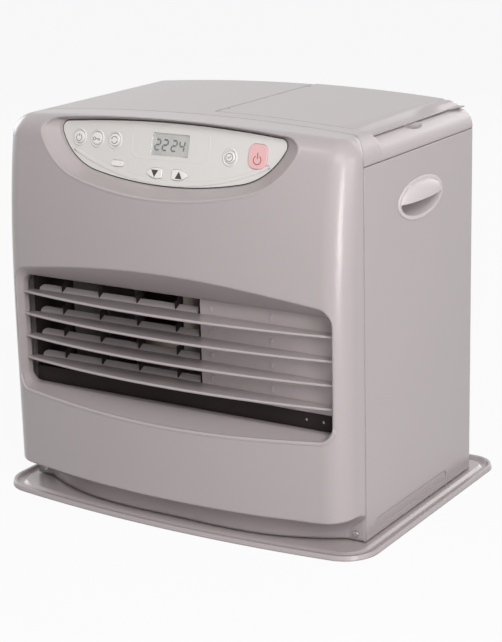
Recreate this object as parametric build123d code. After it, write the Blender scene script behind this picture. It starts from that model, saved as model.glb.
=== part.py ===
from build123d import *
import math
import os

# Portable paraffin heater in millimetres: X to the right, Y to the back, Z up.
# The origin is the middle of the tray's outline, on the floor.
# Every function draws in the cabinet's own frame: X from its middle, Y from its front seam,
# Z from its lower edge. The last lines move all pieces onto the floor together.

# Cabinet
body_width = 430.0
body_depth = 249.5        # front seam to rear face
side_height = 393.7       # seam between side panels and top cover
crown_height = 429.4      # top of the cover at its middle
crown_drop = 10.0         # how far the cover falls to its edges
shoulder_r = 26.0
rear_r = 4.0
corner_r = 30.0           # front corners, seen from above
face_reach = 40.0         # front face ahead of the seam, at its ends
bow = 20.0                # how much further the middle of the face stands out
lean_from = 150.0         # the face leans back above this height
lean_top = 21.0           # and by this much at the top
seam_top_y = 20.0         # seam between front panel and top cover
seam_gap = 0.8
front_wall = 1.2
sheet = 1.0
flange = 12.0

# Kick recess under the front face
crease_height = 38.0      # at the side seams
crease_slope = 10.0       # lower by this much at the front
lip_reach = 38.0
lip_flat = 66.0           # half width of the straight middle of the lip
ear_x = 195.0             # here the lip meets the ears
ear_height = 34.0
screw_x = 203.6
screw_z = 7.0
screw_head_r = 3.6

# Louvre window, its dish and its slats
window_y = -30.0
window_half = 196.5
window_low = 122.0
window_high = 246.0
window_r = 12.0
tunnel = 8.0              # depth of the window's inward flange
dish_far_y = -75.0        # the dish is drawn to here, in front of the face
dish_half = 212.0
dish_low_end = 110.0
dish_low_mid = 103.0
dish_high_end = 282.0
dish_high_mid = 292.0
dish_r = 26.0
slat_pitch = 25.4
slat_high = 226.0         # front edge of the highest slat
slat_count = 4
slat_fall = 1.0           # the rear edge is lower than the ends of the front edge
blade_drop = 2.5          # lower edge of an inner blade under its slat
slat_bow_y = -52.0
slat_back_y = -16.0
slat_bead_r = 1.6
blade_left = -190.0
blade_right = 23.0
blade_width = 10.0
duct_right = 26.0
blade_tilt = 30.0
comb_first_x = -157.0
comb_pitch = 50.4
comb_count = 4
comb_tab = 11.0           # top of a comb's tab over the blade's lower edge

# Control panel: an eye-shaped plane that leans back
panel_tilt = 14.8
panel_y = -23.0
panel_z = 390.0
panel_half = 139.5
panel_low = -30.3         # heights are measured up the plane
panel_high = 36.7
panel_side = 18.0         # height of the widest place
panel_knee_u = 0.645      # where the flat lower curve turns into the side curve
panel_knee_v = 0.804
panel_corner_in = 8.5
panel_corner_up = 12.5
panel_dish_depth = 26.0
bezel_thick = 2.0
bezel_gap = 0.3
ledge = 5.0
button_gap = 0.4
button_travel = 1.0
button_proud = 1.2
button_flange = 1.2
board_depth = 8.0         # front of the control board behind the panel plane
display_u = 23.3          # half width of the display window
display_low = 1.5
display_high = 24.8

# Fuel lid and its pocket in the cover
lid_left = 15.6
lid_right = 197.0
lid_flare = 203.5         # right edge at the rear
lid_flare_y = 222.0
lid_front = 42.5
lid_skin = 1.5
lid_depth = 4.2
lid_gap = 0.8
lid_flute_x = 178.0       # the flute begins here
lid_flute_low = 415.9
lid_lip_z = 416.2
pocket_depth = 5.0
pocket_shoulder_r = 20.3
hinge_bead_r = 1.8
hinge_pin_r = 1.2
hinge_pin_gap = 0.05
hinge_lug = 3.0
hinge_drop = 2.2          # pin centre under the crown
notch_y = 134.0
notch_width = 32.0
notch_height = 5.0
notch_depth = 7.5

# Side grips and the pressed rib of the side panels
grip_y = 122.0
grip_z = 341.0
grip_length = 100.0
grip_height = 44.4
grip_depth = 22.0
grip_proud = 1.5
grip_hood = 8.0
grip_wall = 2.0
rib_y = 104.0
rib_z = 12.0
rib_length = 164.0
rib_height = 10.5
rib_depth = 0.6

# Drip tray
body_lift = 5.5           # floor to the cabinet's lower edge
tray_side = 20.0          # reach past the side panels
tray_front = 63.0         # ahead of the front seam, at the middle
tray_rear = 38.5          # reach past the rear panel
tray_bow = 18.4           # the front edge falls back by this much at its ends
tray_front_r = 40.0
tray_rear_r = 30.0
tray_sheet = 1.0
tray_floor = 4.0          # heights above the floor
tray_gutter = 1.9
tray_rim = 5.4
tray_lip = 0.4
rim_width = 4.2
gutter_width = 6.5
ramp_width = 4.0
pad_r = 10.0

# Warm-air side: burner, blower, room fan
burner_x = -80.0
burner_y = 120.0
chamber_r = 62.0
chamber_low = 108.0
chamber_high = 300.0
pot_r = 40.0
pot_low = 69.0
support_z = 66.0
blower_r = 46.0
blower_low = 6.0
blower_high = 40.0
fan_z = 235.0
fan_r = 80.0
fan_gap = 5.0
fan_blades = 5
fan_hub_r = 24.0
fan_motor_r = 30.0
fan_depth = 22.0
guard_r = 94.0
filter_half = 104.0
filter_low = 128.0
filter_high = 342.0
filter_thick = 8.0
slide_gap = 0.4

# Fuel side
well_left = 50.0
well_right = 192.0
well_front = 58.0
well_back = 236.0
well_low = 90.0
tank_gap = 5.0
tank_height = 266.0
tank_r = 16.0
tank_edge_r = 6.0
tank_wall = 1.0
cap_r = 24.0
cap_low = 66.0
neck_r = 20.0
neck_gap = 0.05
handle_span = 34.0
handle_reach = 34.0
handle_r = 2.5
handle_gap = 0.05
sump_left = 20.0
sump_low = 12.0
sump_high = 70.0
cup_gap = 3.0
pump_x = 34.0
pump_y = 92.0
pump_r = 12.0
pipe_r = 2.0

# Other values
contact = 0.3             # gap between a moving piece and its stop
slack = 10.0              # cutters run past their faces by this much

floor_z = -body_lift
tray_width = body_width + 2 * tray_side
tray_back = body_depth + tray_rear
crown_r = ((body_width / 2) ** 2 + crown_drop ** 2) / (2 * crown_drop)
shelf_z = well_low + sheet
tank_low = shelf_z + contact
tank_top = tank_low + tank_height


def block(x0, x1, y0, y1, z0, z1):
    """A box between two corners."""
    return Pos((x0 + x1) / 2, (y0 + y1) / 2, (z0 + z1) / 2) * Box(x1 - x0, y1 - y0, z1 - z0)


def drum(x, y, z0, z1, r):
    """An upright cylinder."""
    return Pos(x, y, (z0 + z1) / 2) * Cylinder(r, z1 - z0)


def drum_y(x, z, y0, y1, r):
    """A cylinder that lies from front to back."""
    return Pos(x, (y0 + y1) / 2, z) * Rot(90, 0, 0) * Cylinder(r, y1 - y0)


def drum_x(y, z, x0, x1, r):
    """A cylinder that lies from left to right."""
    return Pos((x0 + x1) / 2, y, z) * Rot(0, 90, 0) * Cylinder(r, x1 - x0)


def crown_z(x):
    """Height of the crowned top at x."""
    return crown_height - crown_r + math.sqrt(crown_r ** 2 - x ** 2)


def lean(z):
    """How far the front face has leaned back at height z."""
    return lean_top * (max(0.0, z - lean_from) / (crown_height - lean_from)) ** 3


def plan_section(z, inset, back):
    """The cabinet's outline seen from above, at height z."""
    half = body_width / 2 - inset
    reach = face_reach - lean(z) - inset
    with BuildSketch(Plane.XY.offset(z)) as section:
        with BuildLine():
            ThreePointArc((-half, -reach), (0, -reach - bow), (half, -reach))
            Polyline((half, -reach), (half, back), (-half, back), (-half, -reach))
        make_face()
        fillet(section.vertices().sort_by(Axis.Y)[:2], corner_r - inset)
    return section.sketch.faces()[0]


def crown_block(inset, back):
    """Everything under the crowned top, drawn as a front view."""
    half = body_width / 2 + slack
    top = crown_height - inset
    drop = crown_height - crown_z(half)
    with BuildSketch(Plane.XZ.offset(-back)) as section:
        with BuildLine():
            ThreePointArc((-half, top - drop), (0, top), (half, top - drop))
            Polyline((half, top - drop), (half, -slack), (-half, -slack), (-half, top - drop))
        make_face()
    return extrude(section.sketch, amount=back + 2 * (face_reach + bow))


def cabinet_form(inset, back):
    """The closed outer form that front panel, top cover and side panels are cut from."""
    step = (crown_height - lean_from) / 4
    heights = [-slack, lean_from] + [lean_from + step * k for k in (1, 2, 3)] + [crown_height + slack]
    form = loft([plan_section(z, inset, back) for z in heights])
    form = (form & crown_block(inset, back + slack)).solids()[0]
    top = form.faces().sort_by(Axis.Z)[-1]
    rim = [edge for edge in top.edges() if edge.center().Y < back - 1]
    return fillet(rim, shoulder_r - inset)


def closed_form(inset):
    """The outer form with its rounded rear edges."""
    form = cabinet_form(inset, body_depth - inset)
    rear = form.faces().sort_by(Axis.Y)[-1]
    rear_edges = [edge for edge in rear.edges() if edge.center().Z > 0]
    return fillet(rear_edges, rear_r - inset)


def seam_zone(shift):
    """Everything ahead of the seam between front panel and the other covers."""
    with BuildSketch(Plane.YZ.offset(-body_width)) as section:
        with BuildLine():
            Polyline((-200, 0), (shift, 0), (shift, side_height))
            TangentArc((shift, side_height), (seam_top_y + shift, crown_height - 9), tangent=(0, 1))
            Polyline((seam_top_y + shift, crown_height - 9), (seam_top_y + shift, 500), (-200, 500), (-200, 0))
        make_face()
    return extrude(section.sketch, amount=2 * body_width)


def dish_outline(y, half, low_end, low_mid, high_end, high_mid, r):
    """A rounded window outline with bowed long edges, in an upright plane at y."""
    with BuildSketch(Plane.XZ.offset(-y)) as section:
        with BuildLine():
            ThreePointArc((-half, low_end), (0, low_mid), (half, low_end))
            Line((half, low_end), (half, high_end))
            ThreePointArc((half, high_end), (0, high_mid), (-half, high_end))
            Line((-half, high_end), (-half, low_end))
        make_face()
        fillet(section.vertices(), r)
    return section.sketch.faces()[0]


def window_outline(y, grow):
    """Outline of the louvre window."""
    return dish_outline(y, window_half + grow, window_low - grow, window_low - grow - 0.01,
                        window_high + grow, window_high + grow + 0.01, window_r + grow)


def louvre_dish(grow):
    """The lens-shaped dish that slopes from the face back to the window, and its flange."""
    far = dish_outline(dish_far_y, dish_half + grow, dish_low_end - grow, dish_low_mid - grow,
                       dish_high_end + grow, dish_high_mid + grow, dish_r + grow)
    near = window_outline(window_y + grow, grow)
    tunnel_block = extrude(window_outline(window_y + tunnel, grow), amount=tunnel)
    return loft([far, near], ruled=True) + tunnel_block


def panel_plane(front):
    """The control panel's plane, moved forward by front."""
    tilt = math.radians(panel_tilt)
    normal = Vector(0, -math.cos(tilt), math.sin(tilt))
    return Plane(origin=Vector(0, panel_y, panel_z) + normal * front, x_dir=(1, 0, 0), z_dir=normal)


def eye_outline(front, wider, lower, higher):
    """The eye-shaped outline of the control panel on its plane, drawn as half and mirrored."""
    half = panel_half + wider
    deep = panel_side - panel_low + lower
    knee = (half * panel_knee_u, panel_side - deep * panel_knee_v)
    corner = (half - panel_corner_in, panel_side + panel_corner_up + higher)
    with BuildSketch(panel_plane(front)) as section:
        with BuildLine():
            low = TangentArc((0, panel_side - deep), knee, tangent=(1, 0))
            side = TangentArc(knee, (half, panel_side), tangent=low % 1)
            TangentArc((half, panel_side), corner, tangent=side % 1)
            TangentArc((0, panel_high + higher), corner, tangent=(1, 0))
            mirror(about=Plane.YZ)
        make_face()
    return section.sketch.faces()[0]


def panel_dish(grow):
    """The dish round the control panel, down to the ledge that the bezel lies on."""
    base = -bezel_thick - grow
    low = eye_outline(base, grow, grow, grow)
    plane = eye_outline(0, grow, grow, grow)
    far = eye_outline(panel_dish_depth, 40 + grow, 20 + grow, 4 + grow)
    return loft([low, plane], ruled=True) + loft([plane, far], ruled=True)


def lip_y(x):
    """Line of the kick recess at the bottom, from its straight middle back to the ears."""
    beyond = max(0.0, abs(x) - lip_flat) / (ear_x - lip_flat)
    return lip_reach * (beyond ** 2 - 1)


def rim_y(x):
    """Line of the front face just above the kick recess, round the corners."""
    half = body_width / 2
    flat = half - corner_r
    face = -face_reach - bow * (1 - (min(abs(x), flat) / half) ** 2)
    return face + corner_r - math.sqrt(max(0.0, corner_r ** 2 - max(0.0, abs(x) - flat) ** 2))


def kick_section(level, forward, grow):
    """One level of the kick recess: 0 at the lip, 1 at the crease."""
    height = crease_height * level
    slope = math.atan2(crease_slope, face_reach + bow) * min(level, 1.0)
    plane = Plane(origin=(0, 0, height + grow), x_dir=(1, 0, 0), z_dir=(0, -math.sin(slope), math.cos(slope)))
    edge = body_width / 2 + 1
    marks = [-edge, -208, -195, -165, -130, -lip_flat, 0, lip_flat, 130, 165, 195, 208, edge]
    line = [(x, (lip_y(x) + forward * (rim_y(x) - lip_y(x)) + grow) / math.cos(slope)) for x in marks]
    with BuildSketch(plane) as section:
        with BuildLine():
            Spline(*line)
            Polyline(line[-1], (edge + slack, line[-1][1]), (edge + slack, -150), (-edge - slack, -150),
                     (-edge - slack, line[0][1]), line[0])
        make_face()
    return section.sketch.faces()[0]


def kick_recess(grow):
    """The cove under the front face, concave from the lip out to the crease."""
    levels = [(-0.3, 0.0), (0.2, 0.03), (0.55, 0.2), (0.85, 0.6), (1.0, 1.0), (1.08, 1.35)]
    return loft([kick_section(level, forward, grow) for level, forward in levels])


def front_panel():
    """Pressed front shell with top roll, two dishes, window, kick recess and ears."""
    back = seam_top_y + 2 * slack
    outer = cabinet_form(0, back) - louvre_dish(0) - panel_dish(0) - kick_recess(0)
    inner = cabinet_form(front_wall, back) - louvre_dish(front_wall) - panel_dish(front_wall)
    inner = inner - kick_recess(front_wall)
    shell = (outer - inner) & seam_zone(0)
    hem = (cabinet_form(front_wall, back) - cabinet_form(flange, back)) & (seam_zone(0) - seam_zone(-front_wall))
    hem = hem - kick_recess(front_wall) - panel_dish(front_wall)
    shell = shell + hem
    for side in (-1, 1):
        inner_x = side * (ear_x - 20)
        outer_x = side * (body_width / 2)
        ear = block(min(inner_x, outer_x), max(inner_x, outer_x), -front_wall, 0, 0, ear_height)
        shell = shell + (ear - drum_y(side * screw_x, screw_z, -slack, slack, 2.2))
    shell = shell - extrude(eye_outline(-slack, -ledge, -ledge, -ledge), amount=2 * slack)
    shell = shell - extrude(window_outline(slack, 0), amount=60)
    return shell.solids().sort_by(SortBy.VOLUME)[-1]


def front_screws():
    """The two screws that hold the ears to the chassis."""
    group = []
    for side in (-1, 1):
        head = drum_y(side * screw_x, screw_z, -front_wall - 2.2, -front_wall, screw_head_r)
        head = fillet(head.edges().sort_by(Axis.Y)[:1], 1.2)
        group.append(head + drum_y(side * screw_x, screw_z, -front_wall, 6, 1.9))
    return Compound(group)


def outer_slat(index):
    """A crescent blade: its rear edge is straight, its front edge bowed and beaded."""
    z = slat_high - slat_pitch * index
    with BuildSketch() as section:
        with BuildLine():
            ThreePointArc((-window_half, window_y), (0, slat_bow_y), (window_half, window_y))
            Polyline((window_half, window_y), (window_half, slat_back_y), (-window_half, slat_back_y),
                     (-window_half, window_y))
        make_face()
    blade = Pos(0, 0, z - sheet / 2) * extrude(section.sketch, amount=sheet)
    with BuildLine() as edge:
        ThreePointArc((-window_half, window_y, z), (0, slat_bow_y, z), (window_half, window_y, z))
    start = edge.line @ 0
    with BuildSketch(Plane(origin=start, z_dir=edge.line % 0)) as bead:
        Circle(slat_bead_r)
    bead_rod = sweep(bead.sketch, path=edge.line)
    slat = blade + (bead_rod & block(-window_half, window_half, -slack * 9, 0, z - slack, z + slack))
    pitch = math.degrees(math.atan2(slat_fall, slat_back_y - window_y))
    return Pos(0, window_y, z) * Rot(-pitch, 0, 0) * Pos(0, -window_y, -z) * slat


def blade_z(index):
    """Height of the lower edge of an inner blade."""
    return slat_high - slat_pitch * index - blade_drop


def inner_blades():
    """Straight tilted blades behind the slats, in front of the burner outlet."""
    group = []
    for index in range(slat_count):
        length = blade_right - blade_left
        blade = extrude(RectangleRounded(length, blade_width, blade_width / 2 - 0.1), amount=sheet)
        low = Pos((blade_left + blade_right) / 2, slat_back_y + 2.0, blade_z(index))
        group.append(low * Rot(blade_tilt, 0, 0) * Pos(0, blade_width / 2, 0) * blade)
    return group


def blade_combs(blades):
    """Upright slotted plates that carry the blades."""
    group = []
    for k in range(comb_count):
        x = comb_first_x + comb_pitch * k
        comb = block(x - 0.6, x + 0.6, slat_back_y + 8, slat_back_y + 16, duct_low() + sheet, duct_high() - sheet)
        for index in range(slat_count):
            z = blade_z(index)
            comb = comb + block(x - 0.6, x + 0.6, slat_back_y + 3, slat_back_y + 9, z - 2, z + comb_tab)
        for blade in blades:
            comb = comb - blade
        group.append(comb.solids().sort_by(SortBy.VOLUME)[-1])
    return Compound(group)


def baffle_plate():
    """Closed sheet behind the right part of the window, with small bridges at the slats."""
    plate = block(duct_right + sheet, window_half - sheet, slat_back_y + sheet, slat_back_y + 2 * sheet,
                  duct_low(), duct_high())
    for x in (41.0, 115.0):
        for index in range(slat_count):
            z = blade_z(index) + 9
            plate = plate + block(x - 1, x + 1, slat_back_y - 1.0, slat_back_y + sheet, z - 3, z + 3)
    return plate


def sill_plate():
    """Folded strip under the lowest slat, with two small holes."""
    face = block(1 - window_half, window_half - 1, slat_back_y, slat_back_y + sheet, duct_low(), duct_low() + 21)
    for x in (155.0, 175.0):
        face = face - drum_y(x, window_low + 7, slat_back_y - 2, slat_back_y + 2, 1.6)
    return face


def duct_low():
    """Lower face of the outlet duct, under the window."""
    return window_low - 6


def duct_high():
    """Upper face of the outlet duct, over the window."""
    return window_high + 4


def outlet_duct():
    """Open sheet tunnel from the combustion chamber to the louvre."""
    y0 = slat_back_y + sheet
    y1 = burner_y - chamber_r - 4
    left = blade_left - 5
    outer = block(left, duct_right, y0, y1, duct_low(), duct_high())
    inner = block(left + sheet, duct_right - sheet, y0 - 1, y1 + 1, duct_low() + sheet, duct_high() - sheet)
    return outer - inner


def tray_outline(inset, z):
    """The tray's outline seen from above, moved inward by inset."""
    half = tray_width / 2 - inset
    front = -tray_front + inset
    with BuildSketch(Plane.XY.offset(z)) as section:
        with BuildLine():
            ThreePointArc((-half, front + tray_bow), (0, front), (half, front + tray_bow))
            Polyline((half, front + tray_bow), (half, tray_back - inset), (-half, tray_back - inset),
                     (-half, front + tray_bow))
        make_face()
        fillet(section.vertices().sort_by(Axis.Y)[:2], tray_front_r - inset)
        fillet(section.vertices().sort_by(Axis.Y)[-2:], tray_rear_r - inset)
    return section.sketch.faces()[0]


def tray_form(inset):
    """The tray's upper surface as a block, or its under surface when inset is the sheet."""
    foot = floor_z + tray_lip - 2 * inset
    rim = floor_z + tray_rim - inset
    gutter = floor_z + tray_gutter - inset
    floor = floor_z + tray_floor - inset
    outer = loft([tray_outline(inset, foot), tray_outline(inset + 1.2, rim)], ruled=True)
    cavity = loft([tray_outline(rim_width - inset, rim + 1), tray_outline(rim_width + 0.8 - inset, gutter)], ruled=True)
    start = rim_width + gutter_width
    raised = loft([tray_outline(start + inset, gutter - 0.5), tray_outline(start + ramp_width + inset, floor)],
                  ruled=True)
    return (outer - cavity) + raised


def tray():
    """Pressed drip tray: raised floor, gutter and a rim that is rolled down to the floor."""
    return tray_form(0) - tray_form(tray_sheet)


def pads(z0, z1, half_x, y_front, y_back):
    """Four rubber pads."""
    return Compound([drum(x, y, z0, z1, pad_r) for x in (-half_x, half_x) for y in (y_front, y_back)])


def chassis_plate():
    """Floor of the cabinet with three upturned edges."""
    half = body_width / 2 - sheet - rib_depth
    back = body_depth - rear_r
    plate = block(-half, half, 1, back, 0, sheet)
    for side in (-1, 1):
        edge = side * (half - sheet / 2)
        plate = plate + block(edge - sheet / 2, edge + sheet / 2, 1, back, 0, flange)
    plate = plate + block(-half, half, back - sheet, back, 0, flange)
    plate = plate + block(-half, half, 1, 1 + sheet, 0, flange)
    for side in (-1, 1):
        plate = plate - drum_y(side * screw_x, screw_z, -slack, slack, 2.0)
    return plate


def grip_ellipse(x, grow):
    """Oval of the hand grip in an upright plane at x."""
    with BuildSketch(Plane.YZ.offset(x)) as section:
        with Locations((grip_y, grip_z)):
            Ellipse(grip_length / 2 + grow, grip_height / 2 + grow)
    return section.sketch.faces()[0]


def side_panel():
    """Right side panel: folded sheet with flanges, a pressed rib and the grip's opening."""
    half = body_width / 2
    form = closed_form(0) - closed_form(sheet)
    zone = block(half - rear_r - flange, half + 1, seam_gap, body_depth + 1, 0, side_height - seam_gap)
    panel = form & zone
    front_hem = block(half - flange, half - sheet, seam_gap, seam_gap + sheet, 0, side_height - seam_gap)
    top_hem = block(half - flange, half - sheet, seam_gap, body_depth - rear_r,
                    side_height - seam_gap - sheet, side_height - seam_gap)
    panel = panel + (front_hem - block(0, half, 0, 8, -1, flange + sheet)) + top_hem
    slot = extrude(Plane.YZ.offset(half - rib_depth) * Pos(rib_y, rib_z) * SlotOverall(rib_length, rib_height), amount=slack)
    back_slot = extrude(Plane.YZ.offset(half - sheet - rib_depth) * Pos(rib_y, rib_z)
                        * SlotOverall(rib_length, rib_height), amount=rib_depth)
    panel = (panel + back_slot) - slot
    panel = panel - extrude(grip_ellipse(half - slack, -grip_wall), amount=2 * slack)
    return panel.solids().sort_by(SortBy.VOLUME)[-1]


def side_grip():
    """Right hand grip: an oval cup with a proud ring and a hood over its upper half."""
    half = body_width / 2
    ring = extrude(grip_ellipse(half, 0), amount=grip_proud)
    ring = fillet(ring.edges().group_by(Axis.X)[-1], grip_proud * 0.6)
    cup_out = loft([grip_ellipse(half - grip_depth, -9), grip_ellipse(half, -grip_wall - contact)], ruled=True)
    cup_in = loft([grip_ellipse(half - grip_depth + grip_wall, -9 - grip_wall),
                   grip_ellipse(half + grip_proud, -2 * grip_wall - contact)], ruled=True)
    cup = (ring + cup_out) - cup_in
    scale_y = grip_length / 2 - 2.5 * grip_wall
    scale_z = grip_height / 2 - 2.5 * grip_wall
    dome_out = Pos(half, grip_y, grip_z) * scale(Sphere(1), by=(grip_hood, scale_y + 1, scale_z + 1))
    dome_in = Pos(half, grip_y, grip_z) * scale(Sphere(1), by=(grip_hood - grip_wall, scale_y - 1, scale_z - 1))
    upper = block(half - 1, half + 2 * slack, grip_y - grip_length, grip_y + grip_length, grip_z, grip_z + grip_height)
    hood = (dome_out - dome_in) & upper
    return (cup + hood).solids().sort_by(SortBy.VOLUME)[-1]


def lid_section(y, lower, bottom):
    """Closed front view between the lid's top, moved down, and a lower line."""
    left = lid_left + hinge_bead_r
    mid = (left + lid_flute_x) / 2
    with BuildSketch(Plane.XZ.offset(-y)) as section:
        with BuildLine():
            ThreePointArc((left, crown_z(left) - lower), (mid, crown_z(mid) - lower),
                          (lid_flute_x, crown_z(lid_flute_x) - lower))
            Spline((lid_flute_x, crown_z(lid_flute_x) - lower), (lid_flute_x + 7, lid_flute_low + 2.2 - lower),
                   (lid_flute_x + 13, lid_flute_low - lower), (lid_right, lid_lip_z - lower))
            Polyline((lid_right, lid_lip_z - lower), (lid_flare + slack, lid_lip_z + 0.8 - lower),
                     (lid_flare + slack, bottom), (left, bottom), (left, crown_z(left) - lower))
        make_face()
    return section.sketch


def lid_plan(grow):
    """The lid's outline seen from above, with the flare at its right rear."""
    with BuildSketch(Plane.XY.offset(side_height - slack)) as section:
        with BuildLine():
            Polyline((lid_left + hinge_bead_r - grow, lid_front - grow), (lid_right + grow, lid_front - grow),
                     (lid_right + grow, lid_flare_y), (lid_flare + grow, body_depth + grow),
                     (lid_left + hinge_bead_r - grow, body_depth + grow),
                     (lid_left + hinge_bead_r - grow, lid_front - grow))
        make_face()
    return extrude(section.sketch, amount=60)


def fuel_lid():
    """Pressed lid over the tank, hinged at its left edge on pins in its rolled bead."""
    depth = body_depth - lid_front + 2 * slack
    start = body_depth + slack
    top = extrude(lid_section(start, 0, side_height), amount=depth)
    under = extrude(lid_section(start, lid_skin, side_height - 1), amount=depth)
    skin = (top - under) & lid_plan(0)
    front_hem = (under & lid_plan(0)) & block(lid_left + 8, lid_flute_x, lid_front, lid_front + lid_skin,
                                              crown_z(lid_flute_x) - lid_depth, crown_height)
    rear_hem = (under & lid_plan(0)) & block(lid_left + 8, lid_flute_x, body_depth - lid_skin, body_depth,
                                             crown_z(lid_flute_x) - lid_depth, crown_height)
    hems = (front_hem + rear_hem) - extrude(lid_section(start, lid_depth, side_height - 1), amount=depth)
    lid = skin + hems
    x = hinge_x()
    z = hinge_z()
    bead = drum_y(x, z, lid_front, body_depth, hinge_bead_r)
    for y in hinge_places():
        bead = bead - block(x - 5, x + 5, y - hinge_lug / 2 - contact, y + hinge_lug / 2 + contact, z - 5, z + 5)
        notch = block(x - 5, x + 4, y - hinge_lug / 2 - contact, y + hinge_lug / 2 + contact, z - 5, z + 5)
        lid = lid - notch
    pin = drum_y(x, z, hinge_places()[0] - 4, hinge_places()[1] + 4, hinge_pin_r)
    pin = pin - block(x - 5, x + 5, hinge_places()[0] + 4, hinge_places()[1] - 4, z - 5, z + 5)
    return (lid + bead + pin).solids().sort_by(SortBy.VOLUME)[-1]


def hinge_x():
    """Lid hinge line, across."""
    return lid_left + hinge_bead_r


def hinge_z():
    """Lid hinge line, height."""
    return crown_z(lid_left) - hinge_drop


def hinge_places():
    """Where the hinge lugs stand, front to back."""
    return (lid_front + 20, body_depth - 20)


def lid_pocket(grow):
    """The space for the lid in the cover, with a lower shoulder right of it."""
    left = lid_left - lid_gap - grow
    low = pocket_depth + grow
    shoulder_x = body_width / 2 - pocket_shoulder_r
    shelf = side_height + pocket_shoulder_r - grow
    r = pocket_shoulder_r - grow
    mid = (left + lid_flute_x) / 2
    corner = math.sqrt(0.5) * r
    edge = body_width / 2 - grow
    with BuildSketch(Plane.XZ.offset(-body_depth - slack)) as section:
        with BuildLine():
            ThreePointArc((left, crown_z(left) - low), (mid, crown_z(mid) - low),
                          (lid_flute_x - 2, crown_z(lid_flute_x) - low))
            Polyline((lid_flute_x - 2, crown_z(lid_flute_x) - low), (lid_flute_x + 8, shelf), (shoulder_x, shelf))
            ThreePointArc((shoulder_x, shelf), (shoulder_x + corner, side_height + corner), (edge, side_height))
            Polyline((edge, side_height), (edge + 2 * slack, side_height), (edge + 2 * slack, crown_height + slack),
                     (left, crown_height + slack), (left, crown_z(left) - low))
        make_face()
    return extrude(section.sketch, amount=body_depth + slack - lid_front + lid_gap + grow)


def finger_bowl(grow):
    """The scoop under the lid's edge that lets a finger lift the lid."""
    bowl = scale(Sphere(1), by=(notch_depth + grow, notch_width / 2 + grow, notch_height + grow))
    return Pos(lid_right + 4, notch_y, side_height + pocket_shoulder_r) * bowl


def top_cover():
    """Pressed cover with rounded shoulders, the lid's pocket, hinge lugs and finger notch."""
    outer = closed_form(0) - lid_pocket(0)
    inner = closed_form(front_wall) - lid_pocket(front_wall)
    below = block(-body_width, body_width, -200, body_depth + 1, -2 * slack, side_height)
    cover = (outer - inner) - below - seam_zone(seam_gap)
    cover = cover - block(well_left + sheet, well_right - sheet, well_front + sheet, well_back - sheet,
                          side_height - slack, crown_height)
    cover = (cover + (finger_bowl(front_wall) & outer)) - finger_bowl(0)
    for y in hinge_places():
        x = hinge_x()
        z = hinge_z()
        lug = block(x - 2.1, x + 2.1, y - hinge_lug / 2, y + hinge_lug / 2, crown_z(x) - pocket_depth - 0.5, z)
        lug = lug + drum_y(x, z, y - hinge_lug / 2, y + hinge_lug / 2, 2.1)
        cover = cover + (lug - drum_y(x, z, y - slack, y + slack, hinge_pin_r + hinge_pin_gap))
    return cover.solids().sort_by(SortBy.VOLUME)[-1]


def rear_panel():
    """Flat rear sheet with the fan's intake and the holes for cord gland and sensor."""
    half = body_width / 2 - rear_r - 0.2
    y0 = body_depth - 2 * sheet
    plate = block(-half, half, y0, y0 + sheet, flange + 1, side_height)
    plate = plate - drum_y(burner_x, fan_z, y0 - slack, y0 + slack, fan_r + fan_gap)
    plate = plate - drum_y(gland_x(), gland_z(), y0 - slack, y0 + slack, 9)
    return plate


def gland_x():
    """Place of the cord gland, across."""
    return -170.0


def gland_z():
    """Place of the cord gland, height."""
    return 60.0


def cord_gland():
    """Moulded bush where the mains cord comes out."""
    y0 = body_depth - 2 * sheet
    bush = drum_y(gland_x(), gland_z(), y0 - 4, y0 + sheet, 8.9)
    bush = bush + drum_y(gland_x(), gland_z(), y0 + sheet, y0 + sheet + 4, 12)
    bush = bush + drum_y(gland_x(), gland_z(), y0 - 7, y0 - 4, 9.0) + drum_y(gland_x(), gland_z(), y0 - 3, y0, 11)
    return bush - drum_y(gland_x(), gland_z(), y0 - slack, y0 + slack, 3.6)


def combustion_chamber():
    """Sheet drum over the burner, open at its front towards the outlet duct."""
    drum_out = drum(burner_x, burner_y, chamber_low, chamber_high, chamber_r)
    drum_in = drum(burner_x, burner_y, chamber_low - 1, chamber_high - sheet, chamber_r - sheet)
    body = drum_out - drum_in
    mouth = block(burner_x - 30, burner_x + 30, 0, burner_y, chamber_low + 70, chamber_high - 60)
    holes = drum_x(burner_y, chamber_low + 25, burner_x, burner_x + 2 * chamber_r, 3.0)
    holes = holes + drum_x(burner_y + 25, chamber_low + 35, burner_x, burner_x + 2 * chamber_r, 3.0)
    foot = drum(burner_x, burner_y, chamber_low, chamber_low + sheet, chamber_r + 8)
    foot = foot - drum(burner_x, burner_y, chamber_low - 1, chamber_low + 2, chamber_r - sheet)
    return body - mouth - holes + foot


def burner_pot():
    """Cup in which the fuel vaporises, closed by the burner plate."""
    pot = drum(burner_x, burner_y, pot_low, chamber_low - 3, pot_r)
    cavity = drum(burner_x, burner_y, pot_low + 4, chamber_low, pot_r - 3)
    inlet = drum(burner_x, burner_y, pot_low - 1, pot_low + 5, 10)
    fuel = drum_x(burner_y, pot_low + 20, burner_x + pot_r - 6, burner_x + pot_r + 2, pipe_r)
    return pot - cavity - inlet - fuel


def flame_ring():
    """Slotted ring that the flame sits on."""
    base = drum(burner_x, burner_y, chamber_low - 3, chamber_low, pot_r + 4)
    base = base - drum(burner_x, burner_y, chamber_low - 4, chamber_low + 1, 24)
    wall = drum(burner_x, burner_y, chamber_low, chamber_low + 22, 28) - drum(burner_x, burner_y, 0, 300, 25.5)
    ring = base + wall
    for k in range(12):
        slot = Pos(burner_x, burner_y, chamber_low + 12) * Rot(0, 0, 30 * k) * Pos(27, 0, 0) * Box(8, 3, 14)
        ring = ring - slot
    return ring


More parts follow.
